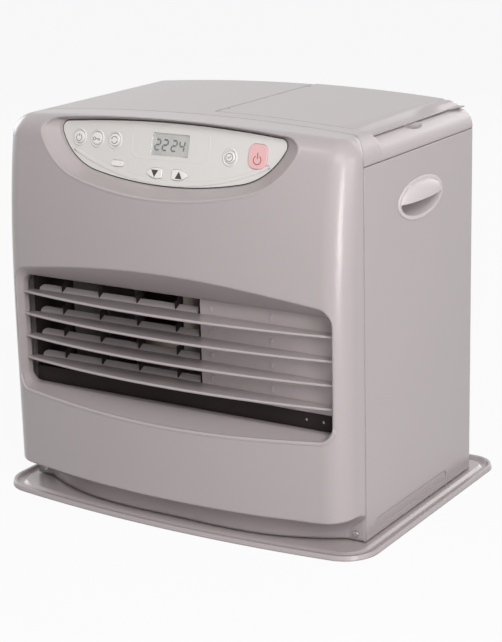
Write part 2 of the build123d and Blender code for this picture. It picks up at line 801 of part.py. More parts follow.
def probe(y, z):
    """A ceramic-bodied rod that enters the chamber from its right side."""
    start = burner_x + 32
    wall = burner_x + chamber_r
    rod = drum_x(y, z, start, wall + 6, 1.2)
    body = drum_x(y, z, wall - 4, wall + 22, 2.9)
    collar = drum_x(y, z, wall + 1, wall + 4, 6)
    return rod + body + collar


def burner_support():
    """Folded bridge over the blower that carries pot and chamber."""
    half = chamber_r + 12
    x0 = burner_x - half
    x1 = burner_x + half
    top = block(x0, x1, burner_y - half, burner_y + half, support_z, support_z + 2)
    left = block(x0, x0 + 1.5, burner_y - half, burner_y + half, sheet, support_z)
    right = block(x1 - 1.5, x1, burner_y - half, burner_y + half, sheet, support_z)
    bridge = top + left + right - drum(burner_x, burner_y, support_z - 1, support_z + 3, 14)
    bridge = bridge + drum(burner_x, burner_y, support_z + 2, pot_low, 30) - drum(burner_x, burner_y, 0, 300, 14)
    for x in (x0 + 6, x1 - 6):
        for y in (burner_y - half + 8, burner_y + half - 8):
            bridge = bridge + drum(x, y, support_z + 2, chamber_low - 1, 4)
    skirt = block(x0, x1, burner_y - half, burner_y + half, chamber_low - 1, chamber_low)
    bridge = bridge + (skirt - drum(burner_x, burner_y, 0, 300, pot_r + 5))
    return bridge


def blower_housing():
    """Scroll housing of the combustion-air blower, on three feet."""
    shell = drum(burner_x, burner_y, blower_low, blower_high, blower_r)
    shell = shell + block(burner_x, burner_x + blower_r + 14, burner_y - blower_r, burner_y - blower_r + 26,
                          blower_low, blower_high)
    space = drum(burner_x, burner_y, blower_low + 2, blower_high - 2, blower_r - 2)
    space = space + block(burner_x, burner_x + blower_r + 15, burner_y - blower_r + 2, burner_y - blower_r + 24,
                          blower_low + 2, blower_high - 2)
    shell = shell - space - drum(burner_x, burner_y, 0, blower_low + 4, 20)
    shell = shell - drum(burner_x, burner_y, blower_high - 4, blower_high + 2, 6)
    for k in range(3):
        foot = Pos(burner_x, burner_y, 0) * Rot(0, 0, 120 * k + 90) * Pos(blower_r - 8, 0, (sheet + blower_low) / 2)
        shell = shell + foot * Cylinder(5, blower_low - sheet)
    return shell


def blower_motor():
    """Motor on top of the blower; its shaft turns the rotor."""
    return drum(burner_x, burner_y, blower_high, support_z - 2, 20) - drum(burner_x, burner_y, 0, blower_high + 8, 2.05)


def blower_rotor():
    """Drum rotor with upright vanes."""
    z0 = blower_low + 5
    z1 = blower_high - 6
    rotor = drum(burner_x, burner_y, z1 - 1.5, z1, 34)
    rotor = rotor + drum(burner_x, burner_y, z1 - 10, z1, 6) + drum(burner_x, burner_y, z1, blower_high + 7, 2.0)
    ring = drum(burner_x, burner_y, z0, z0 + 1.5, 34) - drum(burner_x, burner_y, 0, z0 + 5, 27)
    rotor = rotor + ring
    for k in range(12):
        vane = Pos(burner_x, burner_y, (z0 + z1) / 2) * Rot(0, 0, 30 * k) * Pos(30.5, 0, 0) * Rot(0, 0, 35)
        rotor = rotor + vane * Box(7, 1.0, z1 - z0 - 1)
    return rotor


def fan_front():
    """Front plane of the fan rotor."""
    return body_depth - 2 * sheet - fan_depth - 10


def fan_shroud():
    """Ring round the fan, fixed to the rear panel, with three arms for the motor."""
    y1 = body_depth - 2 * sheet
    y0 = fan_front() - 4
    ring = drum_y(burner_x, fan_z, y0, y1, fan_r + fan_gap) - drum_y(burner_x, fan_z, y0 - 1, y1 + 1, fan_r + 3)
    lip = drum_y(burner_x, fan_z, y1 - 1.5, y1, fan_r + fan_gap + 10)
    lip = lip - drum_y(burner_x, fan_z, y0, y1 + 1, fan_r + 3)
    shroud = ring + lip
    for k in range(3):
        arm = Pos(burner_x, y0 - 1, fan_z) * Rot(0, 120 * k + 90, 0) * Pos((fan_r + fan_motor_r + 5) / 2, 0, 0)
        shroud = shroud + arm * Box(fan_r + 3 - fan_motor_r, 4, 8)
    collar = drum_y(burner_x, fan_z, y0 - 3, y0 + 1, fan_motor_r + 4)
    collar = collar - drum_y(burner_x, fan_z, y0 - 4, y0 + 2, fan_motor_r)
    return shroud + collar


def fan_motor():
    """Flat motor in the shroud's collar."""
    y0 = fan_front() - 4
    motor = drum_y(burner_x, fan_z, y0 - 16, y0 + 1, fan_motor_r)
    return motor - drum_y(burner_x, fan_z, y0 - 10, y0 + 2, 2.55)


def fan_rotor():
    """Five twisted blades on a hub."""
    y0 = fan_front()
    y1 = y0 + fan_depth
    rotor = drum_y(burner_x, fan_z, y0 + 1, y1, fan_hub_r)
    rotor = rotor + drum_y(burner_x, fan_z, y0 - 12, y0 + 2, 2.5)
    for k in range(fan_blades):
        sections = []
        for radius, width, twist in ((fan_hub_r - 3, 24.0, 50.0), (50.0, 38.0, 64.0), (fan_r, 46.0, 72.0)):
            place = Plane(origin=(0, 0, radius), x_dir=(1, 0, 0), z_dir=(0, 0, 1))
            sections.append(place * Rot(0, 0, 90 - twist) * SlotOverall(width, 2.0))
        blade = loft([section.faces()[0] for section in sections])
        rotor = rotor + Pos(burner_x, (y0 + y1) / 2, fan_z) * Rot(0, 360 / fan_blades * k, 0) * blade
    return rotor.solids().sort_by(SortBy.VOLUME)[-1]


def fan_guard():
    """Finger guard of rings and spokes over the intake."""
    y0 = body_depth - sheet
    guard = drum_y(burner_x, fan_z, y0, y0 + 2, guard_r) - drum_y(burner_x, fan_z, y0 - 1, y0 + 3, guard_r - 6)
    for k in range(6):
        r = 16 + 12 * k
        guard = guard + (drum_y(burner_x, fan_z, y0 + 3, y0 + 5, r) - drum_y(burner_x, fan_z, y0, y0 + 6, r - 2))
    for k in range(4):
        spoke = Pos(burner_x, y0 + 2, fan_z) * Rot(0, 45 * k, 0) * Box(2 * guard_r - 4, 2, 3)
        guard = guard + spoke
    return guard


def filter_rails():
    """Two channels on the rear panel that the dust filter slides down into."""
    y0 = body_depth - sheet
    depth = filter_thick + 8
    group = []
    for side in (-1, 1):
        outer_x = side * (filter_half + 4)
        inner_x = side * (filter_half - 6)
        x0 = burner_x + min(outer_x, inner_x)
        x1 = burner_x + max(outer_x, inner_x)
        rail = block(x0, x1, y0, y0 + depth, filter_low - 4, filter_high - 40)
        groove_out = side * (filter_half + slide_gap)
        groove_in = side * (filter_half - slack)
        groove = block(burner_x + min(groove_out, groove_in), burner_x + max(groove_out, groove_in),
                       y0 + depth - 2 - filter_thick - 2 * slide_gap, y0 + depth - 2, filter_low - contact, filter_high)
        group.append(rail - groove)
    return Compound(group)


def filter_y():
    """Rear face of the dust filter."""
    return body_depth - sheet + filter_thick + 8 - 2 - slide_gap


def air_filter():
    """Slide-in dust filter: a frame with a fine screen on a cross of ribs, and a tab."""
    y1 = filter_y()
    y0 = y1 - filter_thick
    outer = block(burner_x - filter_half, burner_x + filter_half, y0, y1, filter_low, filter_high)
    inner = block(burner_x - filter_half + 9, burner_x + filter_half - 9, y0 - 1, y1 + 1, filter_low + 9, filter_high - 9)
    frame = outer - inner
    screen = block(burner_x - filter_half + 8, burner_x + filter_half - 8, y0 + 3, y0 + 4, filter_low + 8, filter_high - 8)
    frame = frame + screen
    for k in (1, 2, 3):
        z = filter_low + (filter_high - filter_low) * k / 4
        x = burner_x - filter_half + 2 * filter_half * k / 4
        frame = frame + block(burner_x - filter_half + 8, burner_x + filter_half - 8, y0 + 4, y1, z - 1, z + 1)
        frame = frame + block(x - 1, x + 1, y0 + 4, y1, filter_low + 8, filter_high - 8)
    tab = block(burner_x - 20, burner_x + 20, y1 - 3, y1, filter_high, filter_high + 10)
    return frame + tab


def room_sensor():
    """Small clip with the room temperature sensor, beside the filter."""
    x = burner_x + filter_half + 40
    y0 = body_depth - sheet
    clip = block(x - 8, x + 8, y0, y0 + 3, 180, 210) + block(x - 3, x + 3, y0 + 3, y0 + 12, 190, 200)
    return clip + drum(x, y0 + 12, 184, 206, 3)


def tank_block(grow, z0, z1):
    """Rounded upright block with the tank's plan."""
    x = (well_left + well_right) / 2
    y = (well_front + well_back) / 2
    width = well_right - well_left - 2 * sheet - 2 * tank_gap + 2 * grow
    depth = well_back - well_front - 2 * sheet - 2 * tank_gap + 2 * grow
    base = Pos(x, y, z0) * RectangleRounded(width, depth, tank_r + grow)
    return extrude(base, amount=z1 - z0)


def tank_centre():
    """Middle of the tank, seen from above."""
    return (well_left + well_right) / 2, (well_front + well_back) / 2


def fuel_tank():
    """Hollow cartridge tank with its neck below and two handle ears on top."""
    x, y = tank_centre()
    body = tank_block(0, tank_low, tank_top)
    body = fillet(body.faces().sort_by(Axis.Z)[-1].edges(), tank_edge_r)
    space = tank_block(-tank_wall, tank_low + tank_wall, tank_top - tank_wall)
    body = body - fillet(space.faces().sort_by(Axis.Z)[-1].edges(), tank_edge_r - tank_wall)
    neck = drum(x, y, cap_low + 5, tank_low, neck_r)
    body = body + neck - drum(x, y, cap_low, tank_low + 3, neck_r - 2)
    for side in (-1, 1):
        ear_x0 = x + side * (handle_span + 3)
        ear = block(ear_x0 - 2, ear_x0 + 2, y - 7, y + 7, tank_top, tank_top + 7)
        ear = ear + drum_x(y, tank_top + 7, ear_x0 - 2, ear_x0 + 2, 7)
        ear = ear - drum_x(y, tank_top + 7, ear_x0 - 5, ear_x0 + 5, handle_r + handle_gap)
        body = body + ear
    return body.solids().sort_by(SortBy.VOLUME)[-1]


def tank_handle():
    """Bail handle with a sleeve, folded down to the front at rest."""
    x, y = tank_centre()
    z = tank_top + 7
    leg = handle_span - 4
    front = y - handle_reach
    with BuildLine() as path:
        FilletPolyline((x - handle_span - 6, y, z), (x - leg, y, z), (x - leg, front, z), (x + leg, front, z),
                       (x + leg, y, z), (x + handle_span + 6, y, z), radius=4)
    with BuildSketch(Plane(origin=path.line @ 0, z_dir=path.line % 0)) as ring:
        Circle(handle_r)
    return sweep(ring.sketch, path=path.line) + drum_x(front, z, x - 20, x + 20, 2 * handle_r)


def tank_cap():
    """Screw cap with its valve, at the bottom of the tank."""
    x, y = tank_centre()
    top = tank_low - 1.5
    cap = drum(x, y, cap_low, top, cap_r) - drum(x, y, cap_low + 3, top + 1, neck_r + neck_gap)
    for k in range(12):
        cap = cap + Pos(x, y, (cap_low + top) / 2) * Rot(0, 0, 30 * k) * Pos(cap_r, 0, 0) * Cylinder(1.2, top - cap_low)
    return cap + drum(x, y, cap_low - 6, cap_low, 5)


def tank_well():
    """Sheet box that guides the tank, open at the top, with a hole for the cap."""
    x, y = tank_centre()
    top = crown_z(well_right) - pocket_depth - front_wall - 12
    outer = block(well_left, well_right, well_front, well_back, well_low, top)
    inner = block(well_left + sheet, well_right - sheet, well_front + sheet, well_back - sheet, shelf_z, top + 1)
    well = outer - inner - drum(x, y, well_low - 1, shelf_z + 1, cap_r + cup_gap + 2)
    return well


def sump_tank():
    """Fixed tank under the well, with the cup that the cap stands in."""
    x, y = tank_centre()
    outer = block(sump_left, well_right + 4, well_front, well_back, sump_low, sump_high)
    inner = block(sump_left + sheet, well_right + 3, well_front + sheet, well_back - sheet, sump_low + sheet, sump_high - sheet)
    sump = outer - inner
    cup = drum(x, y, cap_low - 12, well_low, cap_r + cup_gap + 1.5)
    sump = sump + cup - drum(x, y, cap_low - 10, well_low + 1, cap_r + cup_gap)
    for fx in (sump_left + 15, well_right - 11):
        for fy in (well_front + 15, well_back - 15):
            sump = sump + drum(fx, fy, sheet, sump_low, 6)
    return sump


def fuel_strainer():
    """Fine strainer basket in the cup, under the cap."""
    x, y = tank_centre()
    basket = drum(x, y, cap_low - 10, cap_low - 7.5, cap_r + cup_gap - 0.2)
    return basket - drum(x, y, 0, cap_low, 8)


def fuel_pump():
    """Electromagnetic pump that stands on the sump."""
    base = drum(pump_x, pump_y, sump_high, sump_high + 4, pump_r + 2)
    body = drum(pump_x, pump_y, sump_high + 4, sump_high + 40, pump_r)
    nozzle = drum(pump_x, pump_y, sump_high + 40, sump_high + 48, 3.5)
    return base + body + nozzle - drum(pump_x, pump_y, sump_high + 44, sump_high + 60, pipe_r)


def fuel_pipe():
    """Copper pipe from the pump to the burner pot."""
    z0 = sump_high + 44
    z1 = sump_high + 62
    end_x = burner_x + pot_r - 4
    zp = pot_low + 20
    with BuildLine() as path:
        FilletPolyline((pump_x, pump_y, z0), (pump_x, pump_y, z1), (5, pump_y - 20, z1), (5, burner_y, zp + 4),
                       (-6, burner_y, zp), (end_x, burner_y, zp), radius=[8, 8, 8, 4])
    with BuildSketch(Plane(origin=path.line @ 0, z_dir=path.line % 0)) as ring:
        Circle(pipe_r)
    return sweep(ring.sketch, path=path.line)


def main_board():
    """Main circuit board with transformer, capacitors and relays, on spacers."""
    x0 = well_left + 6
    x1 = well_right - 6
    y1 = well_front - 14
    board = block(x0, x1, y1 - 1.6, y1, 150, 340)
    board = board + block(x0 + 10, x0 + 55, y1 - 30, y1 - 1.6, 165, 205)
    board = board + block(x0 + 70, x0 + 90, y1 - 18, y1 - 1.6, 170, 195) + block(x0 + 96, x0 + 116, y1 - 18, y1 - 1.6, 170, 195)
    for k in range(3):
        board = board + drum_y(x0 + 25 + 35 * k, 260, y1 - 22, y1 - 1.6, 9)
    for x in (x0 + 6, x1 - 6):
        for z in (156, 334):
            board = board + drum_y(x, z, y1, well_front, 3)
    return board


def button_specs():
    """Name, place and outline of each button on the panel plane."""
    return [
        ("button_round_1", 23.3 - panel_half, 13.4, "round", 13.0),
        ("button_round_2", 46.5 - panel_half, 13.4, "round", 13.0),
        ("button_round_3", 69.5 - panel_half, 13.4, "round", 13.0),
        ("button_oblong", 75.6 - panel_half, -10.8, "oblong", 16.0),
        ("button_down", -15.4, -16.8, "leaf_left", 21.0),
        ("button_up", 15.4, -16.8, "leaf_right", 21.0),
        ("button_timer", panel_half - 65.7, 6.6, "round", 12.0),
        ("button_power", panel_half - 32.7, 9.8, "power", 22.0),
    ]


def leaf_outline(size, grow, way):
    """A leaf with its point at one end and a straight cut at the other."""
    high = size * 0.235
    with BuildSketch() as leaf:
        with BuildLine():
            ThreePointArc((way * size / 2, 0), (way * size * 0.1, high), (-way * size * 0.45, high * 0.9))
            Line((-way * size * 0.45, high * 0.9), (-way * size * 0.45, -high * 0.9))
            ThreePointArc((-way * size * 0.45, -high * 0.9), (way * size * 0.1, -high), (way * size / 2, 0))
        make_face()
        fillet(leaf.vertices(), 1.2)
        if grow > 0:
            offset(amount=grow)
    return leaf.sketch


def button_shape(kind, size, grow):
    """Outline of a button cap."""
    if kind == "round":
        return Circle(size / 2 + grow)
    if kind == "power":
        return RectangleRounded(size + 2 * grow, size * 1.14 + 2 * grow, size * 0.36 + grow)
    if kind == "leaf_left":
        return leaf_outline(size, grow, -1)
    if kind == "leaf_right":
        return leaf_outline(size, grow, 1)
    return SlotOverall(size + 2 * grow, size * 0.4 + 2 * grow)


def panel_solid(outline, u, v, front, back):
    """Extrudes an outline at a place on the panel plane, from back to front."""
    return extrude(panel_plane(back) * Pos(u, v) * outline, amount=front - back)


def button(u, v, kind, size):
    """Push button: cap through the bezel, retaining flange and stem."""
    cap = panel_solid(button_shape(kind, size, 0), u, v, button_proud, -bezel_thick - contact)
    top = cap.faces().sort_by(Axis((0, 0, 0), tuple(panel_plane(0).z_dir)))[-1]
    cap = fillet(top.edges(), 0.8)
    foot = -bezel_thick - contact - button_flange
    cap = cap + panel_solid(button_shape(kind, size, button_flange), u, v, -bezel_thick - contact, foot)
    stem_end = -board_depth + 1.4 + contact + button_travel
    return cap + panel_solid(Circle(1.8), u, v, foot, stem_end)


def control_bezel():
    """Off-white moulding of the control panel with its button holes and board posts."""
    place = panel_plane(-bezel_thick)
    face = eye_outline(-bezel_thick, -bezel_gap, -bezel_gap, -bezel_gap)
    for name, u, v, kind, size in button_specs():
        face = face - place * Pos(u, v) * button_shape(kind, size, button_gap)
    window = RectangleRounded(2 * display_u, display_high - display_low, 1.5)
    face = face - place * Pos(0, (display_low + display_high) / 2) * window
    bezel = extrude(face, amount=bezel_thick)
    for u, v in post_places():
        bezel = bezel + panel_solid(Circle(3), u, v, -bezel_thick, -board_depth)
    return bezel


def post_places():
    """Where the control board is screwed to the bezel."""
    return [(-45.0, 22.0), (45.0, 22.0), (-90.0, -6.0), (90.0, -9.0)]


def display_lens():
    """Clear window over the display."""
    window = RectangleRounded(2 * display_u - 0.2, display_high - display_low - 0.2, 1.4)
    return panel_solid(window, 0, (display_low + display_high) / 2, -0.4, -bezel_thick)


def display_module():
    """Liquid crystal display with its carrier, between lens and board."""
    outline = Rectangle(2 * display_u + 6, display_high - display_low + 4)
    return panel_solid(outline, 0, (display_low + display_high) / 2, -bezel_thick - 0.1, -board_depth)


def control_board():
    """Circuit board behind the panel with a key switch under each button."""
    board = panel_solid(RectangleRounded(250, 56, 8), 0, -1, -board_depth, -board_depth - 1.6)
    for name, u, v, kind, size in button_specs():
        board = board + panel_solid(Rectangle(6, 6), u, v, -board_depth + 1.4, -board_depth)
    return board


def build():
    """All pieces by name, in the cabinet's frame."""
    right = side_panel()
    grip = side_grip()
    blades = inner_blades()
    floor_top = floor_z + tray_floor
    pieces = {
        "tray": tray(),
        "tray_feet": pads(floor_z, floor_top - tray_sheet, body_width / 2 - 25, 20, body_depth - 10),
        "body_pads": pads(floor_top, 0, body_width / 2 - 25, 20, body_depth - 20),
        "chassis_plate": chassis_plate(),
        "side_panel_right": right,
        "side_panel_left": mirror(right, Plane.YZ),
        "side_grip_right": grip,
        "side_grip_left": mirror(grip, Plane.YZ),
        "rear_panel": rear_panel(),
        "top_cover": top_cover(),
        "fuel_lid": fuel_lid(),
        "front_panel": front_panel(),
        "front_screws": front_screws(),
        "inner_blades": Compound(blades),
        "blade_combs": blade_combs(blades),
        "baffle_plate": baffle_plate(),
        "sill_plate": sill_plate(),
        "outlet_duct": outlet_duct(),
        "combustion_chamber": combustion_chamber(),
        "burner_pot": burner_pot(),
        "flame_ring": flame_ring(),
        "igniter": probe(burner_y, chamber_low + 25),
        "flame_sensor": probe(burner_y + 25, chamber_low + 35),
        "burner_support": burner_support(),
        "blower_housing": blower_housing(),
        "blower_motor": blower_motor(),
        "blower_rotor": blower_rotor(),
        "fan_shroud": fan_shroud(),
        "fan_motor": fan_motor(),
        "fan_rotor": fan_rotor(),
        "fan_guard": fan_guard(),
        "filter_rails": filter_rails(),
        "air_filter": air_filter(),
        "room_sensor": room_sensor(),
        "cord_gland": cord_gland(),
        "fuel_tank": fuel_tank(),
        "tank_handle": tank_handle(),
        "tank_cap": tank_cap(),
        "tank_well": tank_well(),
        "sump_tank": sump_tank(),
        "fuel_strainer": fuel_strainer(),
        "fuel_pump": fuel_pump(),
        "fuel_pipe": fuel_pipe(),
        "main_board": main_board(),
        "control_bezel": control_bezel(),
        "display_lens": display_lens(),
        "display_module": display_module(),
        "control_board": control_board(),
    }
    for index in range(slat_count):
        pieces["outer_slat_%d" % (index + 1)] = outer_slat(index)
    for name, u, v, kind, size in button_specs():
        pieces[name] = button(u, v, kind, size)
    return pieces


os.makedirs("parts", exist_ok=True)
onto_floor = Pos(0, (tray_front - tray_back) / 2, body_lift)
for name, piece in build().items():
    export_step(onto_floor * piece, "parts/%s.step" % name)
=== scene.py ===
import math

import bmesh
import bpy
from mathutils import Matrix, Vector
from mathutils.bvhtree import BVHTree


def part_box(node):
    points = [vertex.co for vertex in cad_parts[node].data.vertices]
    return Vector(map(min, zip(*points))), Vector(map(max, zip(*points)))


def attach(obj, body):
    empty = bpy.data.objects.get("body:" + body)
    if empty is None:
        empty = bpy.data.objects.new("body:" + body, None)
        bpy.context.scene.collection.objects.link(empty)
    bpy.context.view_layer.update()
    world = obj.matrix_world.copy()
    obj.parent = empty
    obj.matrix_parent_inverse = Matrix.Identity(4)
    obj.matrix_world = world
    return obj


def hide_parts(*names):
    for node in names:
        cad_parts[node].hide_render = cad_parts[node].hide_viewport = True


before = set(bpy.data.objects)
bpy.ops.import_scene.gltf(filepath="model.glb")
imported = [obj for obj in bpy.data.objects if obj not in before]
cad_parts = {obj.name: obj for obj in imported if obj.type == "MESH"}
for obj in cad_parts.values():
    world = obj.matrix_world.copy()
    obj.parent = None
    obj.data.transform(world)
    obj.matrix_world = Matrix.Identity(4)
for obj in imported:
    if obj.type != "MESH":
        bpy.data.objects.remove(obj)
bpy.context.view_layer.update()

# Drip tray: one pressed steel sheet with a raised standing floor, a gutter and a rolled rim.
# It carries the same silver-pink pearl paint as the cabinet: fine metal flakes in a soft tint
# under a satin clear coat, with a faint orange peel from the spray gun.
MM = 0.001
PEARL = (0.400, 0.351, 0.355)
PEARL_SHADE = 0.965
FLAKE_SHADES = (0.94, 1.10)
FLAKE_SHARE = (0.2, 0.5)
FLAKE_SCALE = 5200
CLOUD_SCALE = 5
PEEL_SCALE = 420
PEEL_DEPTH = 0.06 * MM
PRESSED_EDGE = 2.5 * MM


def shader_of(name):
    """A new material and its main shader."""
    material = bpy.data.materials.new(name)
    material.use_nodes = True
    return material, material.node_tree.nodes["Principled BSDF"]


def add(owner, kind):
    """A new node in a material or in the surroundings."""
    return owner.node_tree.nodes.new(kind)


def join(owner, start, end):
    """A wire between two sockets."""
    owner.node_tree.links.new(start, end)


def place_of(material):
    """The place on the piece, in metres."""
    return add(material, "ShaderNodeTexCoord").outputs["Object"]


def grain(material, scale, detail=2.0, stretch=(1, 1, 1)):
    """A noise over the piece, drawn out along an axis by stretch."""
    mapping = add(material, "ShaderNodeMapping")
    mapping.inputs["Scale"].default_value = stretch
    noise = add(material, "ShaderNodeTexNoise")
    noise.inputs["Scale"].default_value = scale
    noise.inputs["Detail"].default_value = detail
    join(material, place_of(material), mapping.inputs["Vector"])
    join(material, mapping.outputs["Vector"], noise.inputs["Vector"])
    return noise.outputs["Fac"]


def ramp(material, source, low, high, start=0.3, end=0.7):
    """Colours low to high as the source goes from start to end."""
    steps = add(material, "ShaderNodeValToRGB")
    first, last = steps.color_ramp.elements
    first.position = start
    first.color = (*low, 1)
    last.position = end
    last.color = (*high, 1)
    join(material, source, steps.inputs["Fac"])
    return steps.outputs["Color"]


def spread(material, source, low, high):
    """A number from low to high as the source goes from 0 to 1."""
    reach = add(material, "ShaderNodeMapRange")
    reach.inputs["To Min"].default_value = low
    reach.inputs["To Max"].default_value = high
    join(material, source, reach.inputs["Value"])
    return reach.outputs["Result"]


def blend_colours(material, share, first, second):
    """Two colours mixed by a share between 0 and 1."""
    mix = add(material, "ShaderNodeMix")
    mix.data_type = "RGBA"
    join(material, share, mix.inputs["Factor"])
    join(material, first, mix.inputs["A"])
    join(material, second, mix.inputs["B"])
    return mix.outputs["Result"]


def rounded(material, radius):
    """The lie of the surface with its edges softened, as thick paint and a press leave them."""
    soft = add(material, "ShaderNodeBevel")
    soft.samples = 8
    soft.inputs["Radius"].default_value = radius
    return soft.outputs["Normal"]


def relief(material, source, depth, strength, under=None):
    """Small bumps on the surface, depth in metres."""
    bump = add(material, "ShaderNodeBump")
    bump.inputs["Distance"].default_value = depth
    bump.inputs["Strength"].default_value = strength
    join(material, source, bump.inputs["Height"])
    if under:
        join(material, under, bump.inputs["Normal"])
    return bump.outputs["Normal"]


def tinted(colour, share):
    """The colour made darker or lighter."""
    return tuple(part * share for part in colour)


def pearl_paint(name, colour, metallic, roughness, lacquer, edge=0.0):
    """Pearl paint: clouds of tint, flakes, clear coat and orange peel, thick on pressed edges."""
    material, shader = shader_of(name)
    clouds = grain(material, CLOUD_SCALE, detail=3)
    flakes = grain(material, FLAKE_SCALE, detail=0)
    base = ramp(material, clouds, tinted(colour, PEARL_SHADE), colour)
    dark, light = (tinted(colour, shade) for shade in FLAKE_SHADES)
    sparkle = ramp(material, flakes, dark, light, start=0.40, end=0.62)
    mixed = blend_colours(material, spread(material, flakes, *FLAKE_SHARE), base, sparkle)
    join(material, mixed, shader.inputs["Base Color"])
    join(material, spread(material, clouds, roughness - 0.02, roughness + 0.03), shader.inputs["Roughness"])
    under = rounded(material, edge) if edge > 0 else None
    peel = relief(material, grain(material, PEEL_SCALE, detail=1), PEEL_DEPTH, 0.25, under)
    join(material, peel, shader.inputs["Normal"])
    shader.inputs["Metallic"].default_value = metallic
    shader.inputs["Specular IOR Level"].default_value = 0.5
    shader.inputs["Coat Weight"].default_value = lacquer
    shader.inputs["Coat Roughness"].default_value = 0.28
    return material


def coat(material, *nodes):
    """Gives a material to pieces that keep their own shape."""
    for node in nodes:
        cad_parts[node].data.materials[0] = material


shell_paint = pearl_paint("shell_paint", PEARL, metallic=0.1, roughness=0.33, lacquer=0.4, edge=PRESSED_EDGE)
coat(shell_paint, "tray")

# Feet, pads and cord gland: rubber mouldings, matt black with a fine grain. Four feet stand
# under the tray, four pads lie between it and the cabinet's floor, and the gland is pushed
# into the rear panel.
RUBBER = (0.018, 0.018, 0.019)
TONE_SCALE = 9


def moulded(name, colour, roughness, grain_scale, grain_depth, shade=0.9):
    """Moulded plastic or rubber with the fine grain of its mould."""
    material, shader = shader_of(name)
    tone = ramp(material, grain(material, TONE_SCALE), tinted(colour, shade), colour)
    join(material, tone, shader.inputs["Base Color"])
    speck = grain(material, grain_scale, detail=1)
    join(material, spread(material, speck, roughness - 0.05, roughness + 0.05), shader.inputs["Roughness"])
    join(material, relief(material, speck, grain_depth, 0.5), shader.inputs["Normal"])
    return material


rubber = moulded("rubber", RUBBER, roughness=0.8, grain_scale=1400, grain_depth=0.05 * MM)
coat(rubber, "tray_feet", "body_pads", "cord_gland")

# Chassis, rear panel, well, sump, housings and brackets: galvanised sheet, folded and spot
# welded. The zinc has frozen into dull crystals, each a little lighter or darker than the next.
ZINC = (0.52, 0.53, 0.54)
SPANGLE_SCALE = 170


def zinc_sheet():
    """Galvanised sheet with its spangle."""
    material, shader = shader_of("zinc_sheet")
    crystals = add(material, "ShaderNodeTexVoronoi")
    crystals.inputs["Scale"].default_value = SPANGLE_SCALE
    join(material, place_of(material), crystals.inputs["Vector"])
    shade = crystals.outputs["Color"]
    tone = ramp(material, shade, tinted(ZINC, 0.86), tinted(ZINC, 1.06), start=0.1, end=0.9)
    join(material, tone, shader.inputs["Base Color"])
    join(material, spread(material, shade, 0.36, 0.52), shader.inputs["Roughness"])
    join(material, relief(material, grain(material, 700), 0.04 * MM, 0.3), shader.inputs["Normal"])
    shader.inputs["Metallic"].default_value = 0.85
    return material


coat(zinc_sheet(), "chassis_plate", "rear_panel", "burner_support", "tank_well", "sump_tank",
     "blower_housing", "fan_shroud")

# Burner: a drawn steel pot, a pierced flame ring and a welded chamber over them, in
# heat-resisting steel that has turned straw and brown where it gets hottest.
BURNER_STEEL = (0.40, 0.37, 0.34)
HEAT_TINT = (0.26, 0.19, 0.13)


def heated_steel():
    """Heat-resisting steel with brown clouds and drawing marks."""
    material, shader = shader_of("burner_steel")
    clouds = grain(material, 14, detail=4)
    join(material, ramp(material, clouds, HEAT_TINT, BURNER_STEEL, start=0.36, end=0.62),
         shader.inputs["Base Color"])
    lines = grain(material, 260, detail=3, stretch=(1, 1, 0.06))
    join(material, spread(material, lines, 0.28, 0.5), shader.inputs["Roughness"])
    join(material, relief(material, lines, 0.05 * MM, 0.3), shader.inputs["Normal"])
    shader.inputs["Metallic"].default_value = 0.9
    return material


coat(heated_steel(), "combustion_chamber", "burner_pot", "flame_ring")

# Igniter and flame sensor: steel rods in white ceramic sleeves, pushed through the chamber's
# side to the flame ring.
CERAMIC = (0.72, 0.70, 0.64)
electrode = moulded("electrode", CERAMIC, roughness=0.35, grain_scale=900, grain_depth=0.02 * MM)
coat(electrode, "igniter", "flame_sensor")

# Motors and pump: pressed steel cans, zinc-plated and left bright, with faint turning marks.
# The housings carry the motors, and the sump carries the pump.
MOTOR = (0.47, 0.47, 0.49)


def plated(name, colour, roughness, mark_scale, stretch=(1, 1, 1)):
    """Plated or turned metal with fine marks along one way."""
    material, shader = shader_of(name)
    marks = grain(material, mark_scale, detail=3, stretch=stretch)
    join(material, ramp(material, marks, tinted(colour, 0.88), colour), shader.inputs["Base Color"])
    join(material, spread(material, marks, roughness - 0.06, roughness + 0.1), shader.inputs["Roughness"])
    join(material, relief(material, marks, 0.02 * MM, 0.25), shader.inputs["Normal"])
    shader.inputs["Metallic"].default_value = 1.0
    return material


motor_metal = plated("motor_metal", MOTOR, roughness=0.34, mark_scale=300, stretch=(1, 1, 0.1))
coat(motor_metal, "blower_motor", "fan_motor", "fuel_pump")

# Fan rotors, finger guard, filter rails and room sensor: black moulded polyamide with a fine
# eroded grain. The guard's rings and spokes are moulded in one with its frame.
BLACK = (0.022, 0.022, 0.024)
black_plastic = moulded("black_plastic", BLACK, roughness=0.5, grain_scale=1800, grain_depth=0.03 * MM)
coat(black_plastic, "fan_guard", "fan_rotor", "filter_rails", "blower_rotor", "room_sensor")

# Dust filter: a dark grey moulded frame with ribs, and a square net of threads moulded into
# it. It slides up out of its rails to be washed.
FILTER = (0.065, 0.07, 0.074)
NET_LIGHT = (0.16, 0.165, 0.17)
NET_PITCH = 13.82 * MM
WAVE_RATE = 20


